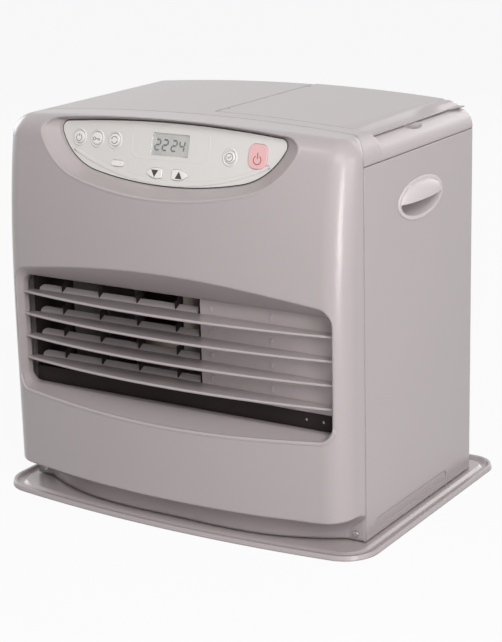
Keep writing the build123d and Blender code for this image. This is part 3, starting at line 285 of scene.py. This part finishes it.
def filter_net():
    """Dark plastic with the squares of a net."""
    material, shader = shader_of("filter_plastic")
    weave = add(material, "ShaderNodeMath")
    weave.operation = "MAXIMUM"
    for way, end in zip("XZ", weave.inputs):
        threads = add(material, "ShaderNodeTexWave")
        threads.bands_direction = way
        threads.inputs["Scale"].default_value = math.tau / (NET_PITCH * WAVE_RATE)
        join(material, place_of(material), threads.inputs["Vector"])
        join(material, threads.outputs["Fac"], end)
    net = weave.outputs["Value"]
    join(material, ramp(material, net, FILTER, NET_LIGHT, start=0.6, end=0.95), shader.inputs["Base Color"])
    join(material, relief(material, net, 0.2 * MM, 0.6), shader.inputs["Normal"])
    shader.inputs["Roughness"].default_value = 0.6
    return material


coat(filter_net(), "air_filter")

# Fuel pipe: drawn copper, bent by hand and slightly tarnished. It runs from the pump to the
# side of the pot.
COPPER = (0.62, 0.30, 0.17)
TARNISH = (0.34, 0.17, 0.11)


def tarnished_copper():
    """Copper with brown clouds."""
    material, shader = shader_of("copper")
    clouds = grain(material, 60, detail=4)
    join(material, ramp(material, clouds, TARNISH, COPPER, start=0.35, end=0.6), shader.inputs["Base Color"])
    join(material, spread(material, clouds, 0.45, 0.22), shader.inputs["Roughness"])
    shader.inputs["Metallic"].default_value = 1.0
    return material


coat(tarnished_copper(), "fuel_pipe")

# Cartridge tank: two deep-drawn steel halves seamed together and painted light grey, with
# a red moulded cap on its neck and a plated wire bail to carry it by.
TANK = (0.52, 0.52, 0.50)
CAP_RED = (0.36, 0.030, 0.022)
BAIL = (0.66, 0.66, 0.68)
coat(pearl_paint("tank_steel", TANK, metallic=0.1, roughness=0.42, lacquer=0.2), "fuel_tank")
coat(moulded("cap_plastic", CAP_RED, roughness=0.42, grain_scale=1500, grain_depth=0.03 * MM), "tank_cap")
coat(plated("handle_steel", BAIL, roughness=0.22, mark_scale=500, stretch=(0.1, 1, 1)), "tank_handle")

# Strainer: an ivory moulded disc with a fine mesh. It lies in the sump under the tank's cap
# and lifts out to be cleaned.
STRAINER = (0.64, 0.60, 0.47)
strainer = moulded("strainer", STRAINER, roughness=0.45, grain_scale=2400, grain_depth=0.06 * MM)
coat(strainer, "fuel_strainer")

# Circuit boards: green solder mask over copper tracks. The small one sits behind the control
# panel, and the main one stands upright in front of the tank's well.
BOARD = (0.010, 0.075, 0.030)
TRACK = (0.020, 0.12, 0.050)
TRACK_SCALE = 90


def circuit_board():
    """Green board with the lighter lines of its tracks."""
    material, shader = shader_of("board")
    tracks = add(material, "ShaderNodeTexBrick")
    tracks.inputs["Scale"].default_value = TRACK_SCALE
    tracks.inputs["Color1"].default_value = (*BOARD, 1)
    tracks.inputs["Color2"].default_value = (*tinted(BOARD, 1.2), 1)
    tracks.inputs["Mortar"].default_value = (*TRACK, 1)
    tracks.inputs["Mortar Size"].default_value = 0.05
    join(material, place_of(material), tracks.inputs["Vector"])
    join(material, tracks.outputs["Color"], shader.inputs["Base Color"])
    shader.inputs["Roughness"].default_value = 0.3
    return material


coat(circuit_board(), "main_board", "control_board")

# Warm-air outlet: a folded duct, straight inner blades hung in combs, a baffle with pressed
# ribs over the right part and a sill plate. Blades and baffle have the shell's tint without
# its clear coat, and what lies deeper is dull and browned by heat. Its near-black colour is
# also painted shade, standing in for the shade inside the outlet.
OUTLET = (0.560, 0.495, 0.500)
BROWNED_AND_SHADED = (0.040, 0.030, 0.030)
coat(pearl_paint("dark_sheet", OUTLET, metallic=0.1, roughness=0.45, lacquer=0.0), "inner_blades",
     "baffle_plate")
# Near-black sheet for the combs, duct and sill: heat-browned, and darker still as painted shade.
browned_and_shaded_sheet = moulded("browned_and_shaded_sheet", BROWNED_AND_SHADED, roughness=0.7, grain_scale=700, grain_depth=0.03 * MM,
                        shade=0.7)
browned_and_shaded_sheet.node_tree.nodes["Principled BSDF"].inputs["Specular IOR Level"].default_value = 0.15
coat(browned_and_shaded_sheet, "blade_combs", "outlet_duct", "sill_plate")

# Outer slats and the pressed shells: four bowed crescents across the louvre window, the
# front panel, the two side panels and the top cover, all sprayed together.
RIM_EDGE = 4.5 * MM
SLAT_EDGE = 0.8 * MM
coat(pearl_paint("front_paint", PEARL, metallic=0.1, roughness=0.30, lacquer=0.45, edge=RIM_EDGE),
     "front_panel")
coat(pearl_paint("slat_paint", PEARL, metallic=0.1, roughness=0.32, lacquer=0.4, edge=SLAT_EDGE),
     "outer_slat_1", "outer_slat_2", "outer_slat_3", "outer_slat_4")
coat(shell_paint, "side_panel_right", "side_panel_left", "top_cover")

# Rims of the two dishes in the front panel: the press leaves a soft rolled lip along them.
# Each is a round bead that follows the panel's own edge and stands a hair above it.
MERGE = 0.001 * MM
PANEL_RIM = ((-0.165, -0.17, 0.345), (0.165, -0.12, 0.426))
LOUVRE_RIM = ((-0.205, -0.18, 0.105), (0.205, -0.14, 0.215))
RIM_R = 2.6 * MM
RIM_PROUD = 0.2 * MM
RIM_SHARP = 36
RIM_FADE = 5


def merged_copy(node):
    """A copy of a piece's mesh with its triangles joined at their corners."""
    form = bmesh.new()
    form.from_mesh(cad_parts[node].data)
    bmesh.ops.remove_doubles(form, verts=form.verts, dist=MERGE)
    return form


def linked(parts, neighbours):
    """The parts of a mesh in groups that hang together. Each group grows while it is walked."""
    groups = []
    left = set(parts)
    while left:
        group = [left.pop()]
        for part in group:
            found = left.intersection(neighbours(part))
            left.difference_update(found)
            group.extend(found)
        groups.append(group)
    return groups


def edges_beside(edge):
    """The edges that share a corner with an edge."""
    return [other for point in edge.verts for other in point.link_edges]


def on_rim(edge, low, high):
    """Whether an edge is sharp and lies inside a box."""
    if edge.calc_face_angle_signed(0) <= math.radians(RIM_SHARP):
        return False
    return all(low[axis] < point.co[axis] < high[axis] for point in edge.verts for axis in range(3))


def lowest(edges):
    """The height of a run's lowest corner."""
    return min(point.co.z for edge in edges for point in edge.verts)


def rim_path(low, high):
    """Places and outward directions along the panel's lowest sharp edge inside a box."""
    form = merged_copy("front_panel")
    runs = linked([edge for edge in form.edges if on_rim(edge, low, high)], edges_beside)
    run = set(min(runs, key=lowest))
    corners = [point for edge in run for point in edge.verts]
    ends = [point for point in corners if corners.count(point) == 1]
    point = min(ends or corners, key=lambda corner: corner.co.x)
    path = []
    left = set(run)
    while point:
        around = [edge for edge in point.link_edges if edge in run]
        out = sum((face.normal for edge in around for face in edge.link_faces), Vector())
        path.append((point.co.copy(), out.normalized()))
        onward = next((edge for edge in around if edge in left), None)
        left.discard(onward)
        point = onward.other_vert(point) if onward else None
    form.free()
    return path


def rim(name, box):
    """A bead along a rim, thinned to nothing at its ends."""
    path = rim_path(*box)
    last = len(path) - 1
    curve = bpy.data.curves.new(name, "CURVE")
    curve.dimensions = "3D"
    curve.bevel_depth = RIM_R
    curve.bevel_resolution = 4
    line = curve.splines.new("POLY")
    line.points.add(last)
    for count, (point, (spot, out)) in enumerate(zip(line.points, path)):
        full = min(count, last - count, RIM_FADE) / RIM_FADE
        point.co = (*(spot + out * (RIM_PROUD - RIM_R * full)), 1)
        point.radius = full
    curve.materials.append(shell_paint)
    piece = bpy.data.objects.new(name, curve)
    bpy.context.scene.collection.objects.link(piece)
    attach(piece, "cabinet")


rim("rim_of_panel_dish", PANEL_RIM)
rim("rim_of_louvre_dish", LOUVRE_RIM)

# Hand grips: colour-matched mouldings clipped into the side panels from outside, satin and
# a little lighter than the painted steel round them.
GRIP = (0.570, 0.513, 0.518)
grip_plastic = moulded("grip_plastic", GRIP, roughness=0.42, grain_scale=1600, grain_depth=0.02 * MM,
                       shade=0.97)
coat(grip_plastic, "side_grip_right", "side_grip_left")

# Front screws: plated pan heads, one through each ear at the foot of the front panel, so
# that the panel comes off for cleaning.
SCREW = (0.62, 0.62, 0.63)
coat(plated("screw_steel", SCREW, roughness=0.2, mark_scale=900), "front_screws")

# Control bezel: an eye-shaped plate of satin off-white plastic in the panel's dish, ringed by
# a thin dark band that is painted shadow for the gap round it. A raised line runs along its
# lower edge like a smile, a thin one frames the display, and soft collars stand round four of
# the buttons.
BEZEL = (0.655, 0.628, 0.607)
PANEL_TILT = 14.8
PANEL_SETBACK = -23 * MM
PANEL_HEIGHT = 390 * MM
SMILE_LOW = -27.0 * MM
SMILE_R = 280 * MM
SMILE_HALF = 121 * MM
SMILE_WIDTH = 2.2 * MM
SMILE_RISE = 0.35 * MM
SMILE_SIDES = 6
FRAME_HALF = 49 * MM
FRAME_LOW = -3.4 * MM
FRAME_HIGH = 30.5 * MM
FRAME_R = 11 * MM
FRAME_LINE = 0.8 * MM
FRAME_RISE = 0.3 * MM
SHADOW_LINE_WIDTH = 0.9 * MM
SHADOW_LINE_RISE = 0.08 * MM
COLLAR_IN = 6.9 * MM
COLLAR_OUT = 9.0 * MM
COLLAR_RISE = 0.8 * MM
COLLAR_TALL = 1.08
COLLAR_LEAN = 0.8
COLLAR_WALL = 0.1 * MM
COLLAR_SIDES = 8

seam_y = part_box("side_panel_right")[0].y
lower_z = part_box("side_panel_right")[0].z
panel = (Matrix.Translation((0, seam_y + PANEL_SETBACK, lower_z + PANEL_HEIGHT))
         @ Matrix.Rotation(math.radians(90 - PANEL_TILT), 4, "X"))


def face_of(node):
    """How far the front of a piece stands out from the panel's plane."""
    inverse = panel.inverted()
    return max((inverse @ point.co).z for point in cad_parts[node].data.vertices)


def face_place(node):
    """The middle of a piece's front, in the panel's plane."""
    low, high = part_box(node)
    middle = panel.inverted() @ ((low + high) / 2)
    return middle.x, middle.y


def settle(form, name, material, body, place=Matrix.Identity(4), smooth=False):
    """Makes a finished mesh a piece of the heater, at its place and on its body."""
    bmesh.ops.transform(form, matrix=place, verts=form.verts)
    bmesh.ops.recalc_face_normals(form, faces=form.faces)
    for face in form.faces:
        face.smooth = smooth
    mesh = bpy.data.meshes.new(name)
    form.to_mesh(mesh)
    form.free()
    mesh.materials.append(material)
    piece = bpy.data.objects.new(name, mesh)
    bpy.context.scene.collection.objects.link(piece)
    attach(piece, body)
    return piece


def on_bezel(form, name, x, y):
    """Settles a form of the bezel's own plastic on its front."""
    place = panel @ Matrix.Translation((x, y, face_of("control_bezel")))
    return settle(form, name, bezel_plastic, "cabinet", place, smooth=True)


def smile_line():
    """The raised line: a flat half-round swept along a wide arc."""
    form = bmesh.new()
    profile = []
    for side in range(SMILE_SIDES + 1):
        angle = math.pi * side / SMILE_SIDES
        out = SMILE_WIDTH * math.cos(angle)
        profile.append(form.verts.new((0, SMILE_LOW + out, SMILE_RISE * math.sin(angle))))
    lines = [form.edges.new(pair) for pair in zip(profile, profile[1:])]
    half_turn = math.asin(SMILE_HALF / SMILE_R)
    centre = (0, SMILE_LOW + SMILE_R, 0)
    bmesh.ops.rotate(form, verts=form.verts, cent=centre, matrix=Matrix.Rotation(-half_turn, 3, "Z"))
    bmesh.ops.spin(form, geom=profile + lines, cent=centre, axis=(0, 0, 1), angle=2 * half_turn, steps=64)
    bmesh.ops.holes_fill(form, edges=form.edges, sides=0)
    on_bezel(form, "bezel_smile_line", 0, 0)


def display_border():
    """A raised line round the display, with round corners."""
    form = bmesh.new()
    bmesh.ops.create_grid(form, x_segments=1, y_segments=1, size=1)
    bmesh.ops.scale(form, vec=(FRAME_HALF, (FRAME_HIGH - FRAME_LOW) / 2, 1), verts=form.verts)
    bmesh.ops.bevel(form, geom=form.verts[:], offset=FRAME_R, segments=10, profile=0.5,
                    affect="VERTICES", material=-1)
    bmesh.ops.inset_region(form, faces=form.faces[:], thickness=FRAME_LINE, depth=FRAME_RISE,
                           use_boundary=True)
    inner = max(form.faces, key=lambda face: face.calc_area())
    bmesh.ops.inset_region(form, faces=[inner], thickness=FRAME_LINE, depth=-FRAME_RISE)
    inner = max(form.faces, key=lambda face: face.calc_area())
    bmesh.ops.delete(form, geom=[inner], context="FACES_ONLY")
    on_bezel(form, "bezel_display_border", 0, (FRAME_LOW + FRAME_HIGH) / 2)


def faces_beside(face):
    """The faces that share an edge with a face."""
    return [other for edge in face.edges for other in edge.link_faces]


def width_of(faces):
    """How wide a group of faces is."""
    across = [point.co.x for face in faces for point in face.verts]
    return max(across) - min(across)


def keep_only(form, faces):
    """Drops every other face of a form."""
    bmesh.ops.delete(form, geom=[face for face in form.faces if face not in faces], context="FACES")


def shadow_gap():
    """A thin band of the black rubber laid over the bezel's edge: painted shadow for the gap round the
    bezel.
    """
    form = merged_copy("control_bezel")
    bmesh.ops.transform(form, matrix=panel.inverted(), verts=form.verts)
    front = face_of("control_bezel") - 10 * MERGE
    keep_only(form, [face for face in form.faces if min(point.co.z for point in face.verts) >= front])
    ring = bmesh.ops.inset_region(form, faces=form.faces[:], thickness=SHADOW_LINE_WIDTH, use_boundary=True,
                                  use_even_offset=True)["faces"]
    keep_only(form, ring)
    keep_only(form, max(linked(form.faces, faces_beside), key=width_of))
    bmesh.ops.solidify(form, geom=form.faces[:], thickness=SHADOW_LINE_RISE)
    # Painted shadow: a black band where the gap round the bezel lies in shade.
    settle(form, "bezel_painted_shadow_line", rubber, "cabinet", panel @ Matrix.Translation((0, 0, SHADOW_LINE_RISE)))


def collar(button):
    """A soft raised ring round a button, a half wave turned about the button's middle."""
    form = bmesh.new()
    profile = []
    for side in range(COLLAR_SIDES + 1):
        way = side / COLLAR_SIDES
        radius = COLLAR_IN + (COLLAR_OUT - COLLAR_IN) * way
        profile.append(form.verts.new((radius, 0, COLLAR_RISE * math.sin(math.pi * way ** COLLAR_LEAN))))
    lines = [form.edges.new(pair) for pair in zip(profile, profile[1:])]
    bmesh.ops.spin(form, geom=profile + lines, cent=(0, 0, 0), axis=(0, 0, 1), angle=math.tau, steps=48,
                   use_merge=True)
    bmesh.ops.scale(form, vec=(1, COLLAR_TALL, 1), verts=form.verts)
    bmesh.ops.solidify(form, geom=form.faces[:], thickness=COLLAR_WALL)
    on_bezel(form, button + "_collar", *face_place(button))


bezel_plastic = moulded("bezel_plastic", BEZEL, roughness=0.34, grain_scale=1700, grain_depth=0.015 * MM,
                        shade=0.985)
coat(bezel_plastic, "control_bezel")
smile_line()
display_border()
shadow_gap()
for button in ("button_round_1", "button_round_2", "button_round_3", "button_timer"):
    collar(button)

# Display: a grey liquid crystal module behind a clear lens. Its four seven-segment numbers
# are printed by the cell as thin dark bars that lean to the right.
LCD = (0.520, 0.500, 0.482)
LCD_INK = (0.165, 0.165, 0.160)
LENS_CLEAR = (1, 1, 1)
LENS_SMEAR = (0.93, 0.95, 0.95)
LENS_IOR = 1.45
DIGITS = "2224"
DIGIT_LEFT = -16.5 * MM
DIGIT_STEPS = (0, 9.4, 20.6, 30.0)
DIGIT_MIDDLE = 12.4 * MM
DIGIT_HALF_WIDTH = 2.9 * MM
DIGIT_HALF_HEIGHT = 5.4 * MM
DIGIT_LINE = 1.8 * MM
DIGIT_GAP = 0.25 * MM
DIGIT_LEAN = 0.12
POINT_SHARE = 0.48
INK_DEPTH = 0.05 * MM
SEGMENTS = {"2": "abged", "4": "fgbc"}
SEGMENT_PLACES = {"a": (0, 1), "b": (1, 0.5), "c": (1, -0.5), "d": (0, -1), "e": (-1, -0.5), "f": (-1, 0.5),
                  "g": (0, 0)}


def lay(form, made, centre, angle):
    """Turns a flat shape about the middle and moves it to its place."""
    bmesh.ops.rotate(form, verts=made, cent=(0, 0, 0), matrix=Matrix.Rotation(angle, 3, "Z"))
    bmesh.ops.translate(form, vec=(*centre, 0), verts=made)


def bar(form, centre, length, width, angle=0.0, pointed=False):
    """A flat bar, with pointed ends where it is a segment of a digit."""
    before = set(form.verts)
    made = bmesh.ops.create_grid(form, x_segments=1, y_segments=1, size=0.5)["verts"]
    bmesh.ops.scale(form, vec=(length, width, 1), verts=made)
    if pointed:
        bmesh.ops.bevel(form, geom=made, offset=width * POINT_SHARE, segments=1, profile=0.5,
                        affect="VERTICES", material=-1)
    lay(form, [point for point in form.verts if point not in before], centre, angle)


def ink(form, name, material, body, place):
    """Gives flat shapes the thickness of a print."""
    bmesh.ops.solidify(form, geom=form.faces[:], thickness=INK_DEPTH)
    settle(form, name, material, body, place @ Matrix.Translation((0, 0, 2 * INK_DEPTH)))


def digits():
    """The numbers on the display: upright bars left and right, lying ones in the middle."""
    form = bmesh.new()
    for sign, step in zip(DIGITS, DIGIT_STEPS):
        for letter in SEGMENTS[sign]:
            across, up = SEGMENT_PLACES[letter]
            centre = (DIGIT_LEFT + step * MM + across * DIGIT_HALF_WIDTH, up * DIGIT_HALF_HEIGHT)
            room = DIGIT_HALF_HEIGHT if across else 2 * DIGIT_HALF_WIDTH
            angle = math.pi / 2 if across else 0
            bar(form, centre, room - 2 * DIGIT_GAP, DIGIT_LINE, angle, pointed=True)
    for point in form.verts:
        point.co.x += point.co.y * DIGIT_LEAN
    lcd_ink = moulded("display_ink", LCD_INK, roughness=0.5, grain_scale=900, grain_depth=0.01 * MM)
    ink(form, "display_digits", lcd_ink, "cabinet",
        panel @ Matrix.Translation((0, DIGIT_MIDDLE, face_of("display_module"))))


def clear_lens():
    """Clear plastic over the display."""
    material, shader = shader_of("lens")
    smear = grain(material, 40)
    join(material, spread(material, smear, 0.02, 0.06), shader.inputs["Roughness"])
    join(material, ramp(material, smear, LENS_SMEAR, LENS_CLEAR), shader.inputs["Base Color"])
    shader.inputs["Transmission Weight"].default_value = 1.0
    shader.inputs["IOR"].default_value = LENS_IOR
    return material


coat(clear_lens(), "display_lens")
coat(moulded("display", LCD, roughness=0.55, grain_scale=900, grain_depth=0.01 * MM, shade=0.96),
     "display_module")
digits()

# Push buttons: soft satin caps that stand in the bezel's holes, with a printed sign on each.
# Three round ones on the left, an oblong one, two leaf-shaped ones, one for the timer, and
# the pinkish power button on the right.
BUTTON = (0.760, 0.735, 0.710)
POWER = (0.74, 0.440, 0.442)
PRINT = (0.045, 0.043, 0.042)
PRINT_GREY = (0.13, 0.125, 0.12)
PRINT_RED = (0.24, 0.055, 0.055)
LINE = 0.7 * MM
POWER_LINE = 0.9 * MM
ARROW_R = 3.7 * MM
POINTER_R = 5.1 * MM


def arc(form, centre, radius, width, start, end):
    """A flat ring or part of one, its angles in degrees."""
    before = set(form.verts)
    ends = [form.verts.new((radius - width / 2, 0, 0)), form.verts.new((radius + width / 2, 0, 0))]
    line = form.edges.new(ends)
    bmesh.ops.spin(form, geom=ends + [line], cent=(0, 0, 0), axis=(0, 0, 1), steps=28,
                   angle=math.radians(end - start), use_merge=end - start == 360)
    lay(form, [point for point in form.verts if point not in before], centre, math.radians(start))


def triangle(form, centre, radius, turn):
    """A filled triangle with one point at the angle turn, in degrees."""
    made = bmesh.ops.create_circle(form, cap_ends=True, segments=3, radius=radius)["verts"]
    point = max(made, key=lambda corner: corner.co.y).co
    lay(form, made, centre, math.radians(turn) - math.atan2(point.y, point.x))


def standby_sign(form):
    """A ring that is open at the top, with a stroke in the gap."""
    arc(form, (0, -0.6 * MM), 3.5 * MM, LINE, 115, 425)
    bar(form, (0, 2.4 * MM), LINE, 3.0 * MM)


def key_sign(form):
    """A key that lies on its side."""
    arc(form, (-3.0 * MM, -0.4 * MM), 1.6 * MM, LINE, 0, 360)
    bar(form, (1.4 * MM, -0.4 * MM), 5.4 * MM, LINE)
    for tooth in (2.0 * MM, 3.6 * MM):
        bar(form, (tooth, -1.4 * MM), LINE, 1.6 * MM)


def circle_sign(form):
    """Two arrows that chase each other round."""
    for start in (20, 200):
        arc(form, (0, 0), ARROW_R, LINE, start, start + 130)
        tip = math.radians(start + 140)
        triangle(form, (ARROW_R * math.cos(tip), ARROW_R * math.sin(tip)), 1.1 * MM, start + 230)


def timer_sign(form):
    """A ring round a tick."""
    arc(form, (0, 0), 4.1 * MM, LINE, 0, 360)
    bar(form, (-1.2 * MM, -0.3 * MM), 2.2 * MM, LINE, math.radians(-50))
    bar(form, (0.8 * MM, 0.3 * MM), 3.6 * MM, LINE, math.radians(48))


def power_sign(form):
    """The power sign, larger than the standby sign."""
    arc(form, (0, -3.4 * MM), 4.4 * MM, POWER_LINE, 120, 420)
    bar(form, (0, 1.0 * MM), POWER_LINE, 6.4 * MM)


def down_sign(form):
    """A filled triangle that points down."""
    triangle(form, (0.6 * MM, 1.0 * MM), POINTER_R, -90)


def up_sign(form):
    """A filled triangle that points up."""
    triangle(form, (-0.6 * MM, -1.0 * MM), POINTER_R, 90)


button_plastic = moulded("button_plastic", BUTTON, roughness=0.33, grain_scale=1900, grain_depth=0.015 * MM,
                         shade=0.985)
power_plastic = moulded("power_plastic", POWER, roughness=0.30, grain_scale=1900, grain_depth=0.015 * MM,
                        shade=0.97)
print_black, print_grey, print_red = (
    moulded(name, colour, roughness=0.5, grain_scale=1500, grain_depth=0.01 * MM)
    for name, colour in (("print_black", PRINT), ("print_grey", PRINT_GREY), ("print_red", PRINT_RED)))
coat(button_plastic, "button_round_1", "button_round_2", "button_round_3", "button_oblong", "button_down",
     "button_up", "button_timer")
coat(power_plastic, "button_power")

signs = {"button_round_1": (standby_sign, print_grey), "button_round_2": (key_sign, print_grey),
         "button_round_3": (circle_sign, print_grey), "button_timer": (timer_sign, print_grey),
         "button_down": (down_sign, print_black), "button_up": (up_sign, print_black),
         "button_power": (power_sign, print_red)}
for button, (draw, material) in signs.items():
    form = bmesh.new()
    draw(form)
    place = panel @ Matrix.Translation((*face_place(button), face_of(button)))
    ink(form, button + "_sign", material, button, place)

# Fuel lid: a pressed steel flap with a flute along its free edge. Towards the rear the flute
# runs out into the cover's round shoulder, so the outer rear corner is drawn up to it.
CREST = 429.4 * MM
CREST_DROP = 10 * MM
HALF_WIDTH = 215 * MM
SHOULDER_R = 26 * MM
SHOULDER_X = HALF_WIDTH - SHOULDER_R
FLUTE_X = 176 * MM
FLUTE_BLEND = 8 * MM
RUN_OUT = (50 * MM, 104 * MM)
RUN_OUT_CUTS = 10
LID_EDGE = 197 * MM
LID_SKIN = 4 * MM
LID_CREASE = 35


def eased(share):
    """A share from 0 to 1 that starts and stops softly."""
    return share * share * (3 - 2 * share)


def shoulder_height(x):
    """The height of the cover's round shoulder, at x from the middle."""
    crown = CREST + lower_z - CREST_DROP * (SHOULDER_X / HALF_WIDTH) ** 2
    return crown - SHOULDER_R + math.sqrt(SHOULDER_R ** 2 - max(x - SHOULDER_X, 0) ** 2)


def lid_with_run_out():
    """A copy of the lid whose flute fades out towards the rear."""
    form = merged_copy("fuel_lid")
    start, end = RUN_OUT
    for cut in range(RUN_OUT_CUTS + 1):
        y = start + (end - start) * cut / RUN_OUT_CUTS
        bmesh.ops.bisect_plane(form, geom=form.verts[:] + form.edges[:] + form.faces[:],
                               plane_co=(0, y, 0), plane_no=(0, 1, 0))
    skin = BVHTree.FromBMesh(form)
    aside = 0.01 * MM
    for point in form.verts:
        x, y, z = point.co
        share = min(max((y - start) / (end - start), 0), 1)
        if x < FLUTE_X or share == 0:
            continue
        top = skin.ray_cast(Vector((x - aside, y - aside, 1)), Vector((0, 0, -1)))[0]
        if top is None or top.z - z > LID_SKIN:
            continue
        out = min((x - FLUTE_X) / (LID_EDGE - FLUTE_X), 1)
        rise = max(shoulder_height(x) - top.z, 0) * (1 - out ** 3)
        point.co.z += rise * eased(share) * min((x - FLUTE_X) / FLUTE_BLEND, 1)
    for edge in form.edges:
        edge.smooth = edge.calc_face_angle(0) < math.radians(LID_CREASE)
    return form


lid = settle(lid_with_run_out(), "lid_shell", shell_paint, "fuel_lid", smooth=True)
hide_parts("fuel_lid")

# Studio: a plain pale floor and soft white surroundings. The large key lamp stands off the
# front right corner, a small low one draws the gleam on that corner, and four weak ones fill.
FLOOR = (0.45, 0.45, 0.45)
FLOOR_HALF = 14
FLOOR_WHITE = 0.90
FLOOR_GLOW = 1.03
SURROUND = 0.17
MIDDLE = (0, 0, 0.2)
CORNER_AIM = (0.1, -0.1, 0.25)


def seen_white(owner):
    """1 for rays of the camera, of gloss and through glass, and 0 for the light on the piece."""
    path = add(owner, "ShaderNodeLightPath")
    total = path.outputs["Is Camera Ray"]
    for ray in ("Is Glossy Ray", "Is Transmission Ray"):
        either = add(owner, "ShaderNodeMath")
        either.operation = "MAXIMUM"
        join(owner, total, either.inputs[0])
        join(owner, path.outputs[ray], either.inputs[1])
        total = either.outputs["Value"]
    return total


def studio_floor():
    """A pale floor that goes white under the camera and keeps the shadow."""
    form = bmesh.new()
    bmesh.ops.create_grid(form, x_segments=1, y_segments=1, size=FLOOR_HALF)
    mesh = bpy.data.meshes.new("studio_floor")
    form.to_mesh(mesh)
    form.free()
    floor = bpy.data.objects.new("studio_floor", mesh)
    bpy.context.scene.collection.objects.link(floor)
    material, shader = shader_of("studio_floor")
    shader.inputs["Base Color"].default_value = (*FLOOR, 1)
    shader.inputs["Roughness"].default_value = 0.9
    shader.inputs["Specular IOR Level"].default_value = 0.0
    glow = add(material, "ShaderNodeEmission")
    glow.inputs["Strength"].default_value = FLOOR_GLOW
    share = add(material, "ShaderNodeMath")
    share.operation = "MULTIPLY"
    share.inputs[1].default_value = FLOOR_WHITE
    mix = add(material, "ShaderNodeMixShader")
    join(material, seen_white(material), share.inputs[0])
    join(material, share.outputs["Value"], mix.inputs["Fac"])
    join(material, shader.outputs["BSDF"], mix.inputs[1])
    join(material, glow.outputs["Emission"], mix.inputs[2])
    join(material, mix.outputs["Shader"], material.node_tree.nodes["Material Output"].inputs["Surface"])
    mesh.materials.append(material)


def surroundings():
    """White all round for the camera and in reflections, soft light for everything else."""
    world = bpy.data.worlds.new("studio")
    world.use_nodes = True
    background = world.node_tree.nodes["Background"]
    background.inputs["Color"].default_value = (1, 1, 1, 1)
    join(world, spread(world, seen_white(world), SURROUND, 1.0), background.inputs["Strength"])
    bpy.context.scene.world = world


def soft_lamp(name, size, place, aim, power, gleams=True):
    """A soft lamp that looks at a point; the gloss shows it where it gleams."""
    light = bpy.data.lights.new(name, "AREA")
    light.shape = "RECTANGLE"
    light.size, light.size_y = size
    light.energy = power
    lamp = bpy.data.objects.new(name, light)
    lamp.location = place
    lamp.rotation_euler = (Vector(aim) - Vector(place)).to_track_quat("-Z", "Y").to_euler()
    lamp.visible_glossy = gleams
    bpy.context.scene.collection.objects.link(lamp)


studio_floor()
surroundings()
soft_lamp("lamp_key", (1.2, 1.4), (1.3, -1.35, 1.4), CORNER_AIM, power=43.5, gleams=False)
soft_lamp("lamp_corner", (0.35, 0.45), (1.7, -1.15, 0.22), (0.15, -0.1, 0.25), power=6)
soft_lamp("lamp_overhead", (1.6, 0.25), (-0.75, -0.6, 1.9), (-0.1, 0, 0.3), power=4)
soft_lamp("lamp_right", (1.2, 1.2), (2.4, -0.2, 0.8), MIDDLE, power=7)
soft_lamp("lamp_left", (1.2, 1.2), (-2.3, 0.5, 0.9), MIDDLE, power=12)
soft_lamp("lamp_rear", (1.2, 1.2), (0.3, 2.4, 0.9), MIDDLE, power=13)

# Camera: it stands 2 metres away to the right of the heater's front and looks down a little,
# rolled by a degree and a half about its own line of sight.
CAMERA_PLACE = (1.0415, -1.6206, 0.7406)
AZIMUTH = 32.51
ELEVATION = 16.06
ROLL = -1.45
FOCAL = 100.26
SENSOR = 36.0

lens = bpy.data.cameras.new("camera")
lens.sensor_fit = "VERTICAL"
lens.sensor_height = SENSOR
lens.lens = FOCAL
camera = bpy.data.objects.new("camera", lens)
camera.matrix_world = (Matrix.Translation(CAMERA_PLACE)
                       @ Matrix.Rotation(math.radians(AZIMUTH), 4, "Z")
                       @ Matrix.Rotation(math.radians(90 - ELEVATION), 4, "X")
                       @ Matrix.Rotation(math.radians(ROLL), 4, "Z"))
bpy.context.scene.collection.objects.link(camera)
bpy.context.scene.camera = camera
bpy.context.scene.view_settings.view_transform = "Standard"

bpy.context.view_layer.update()
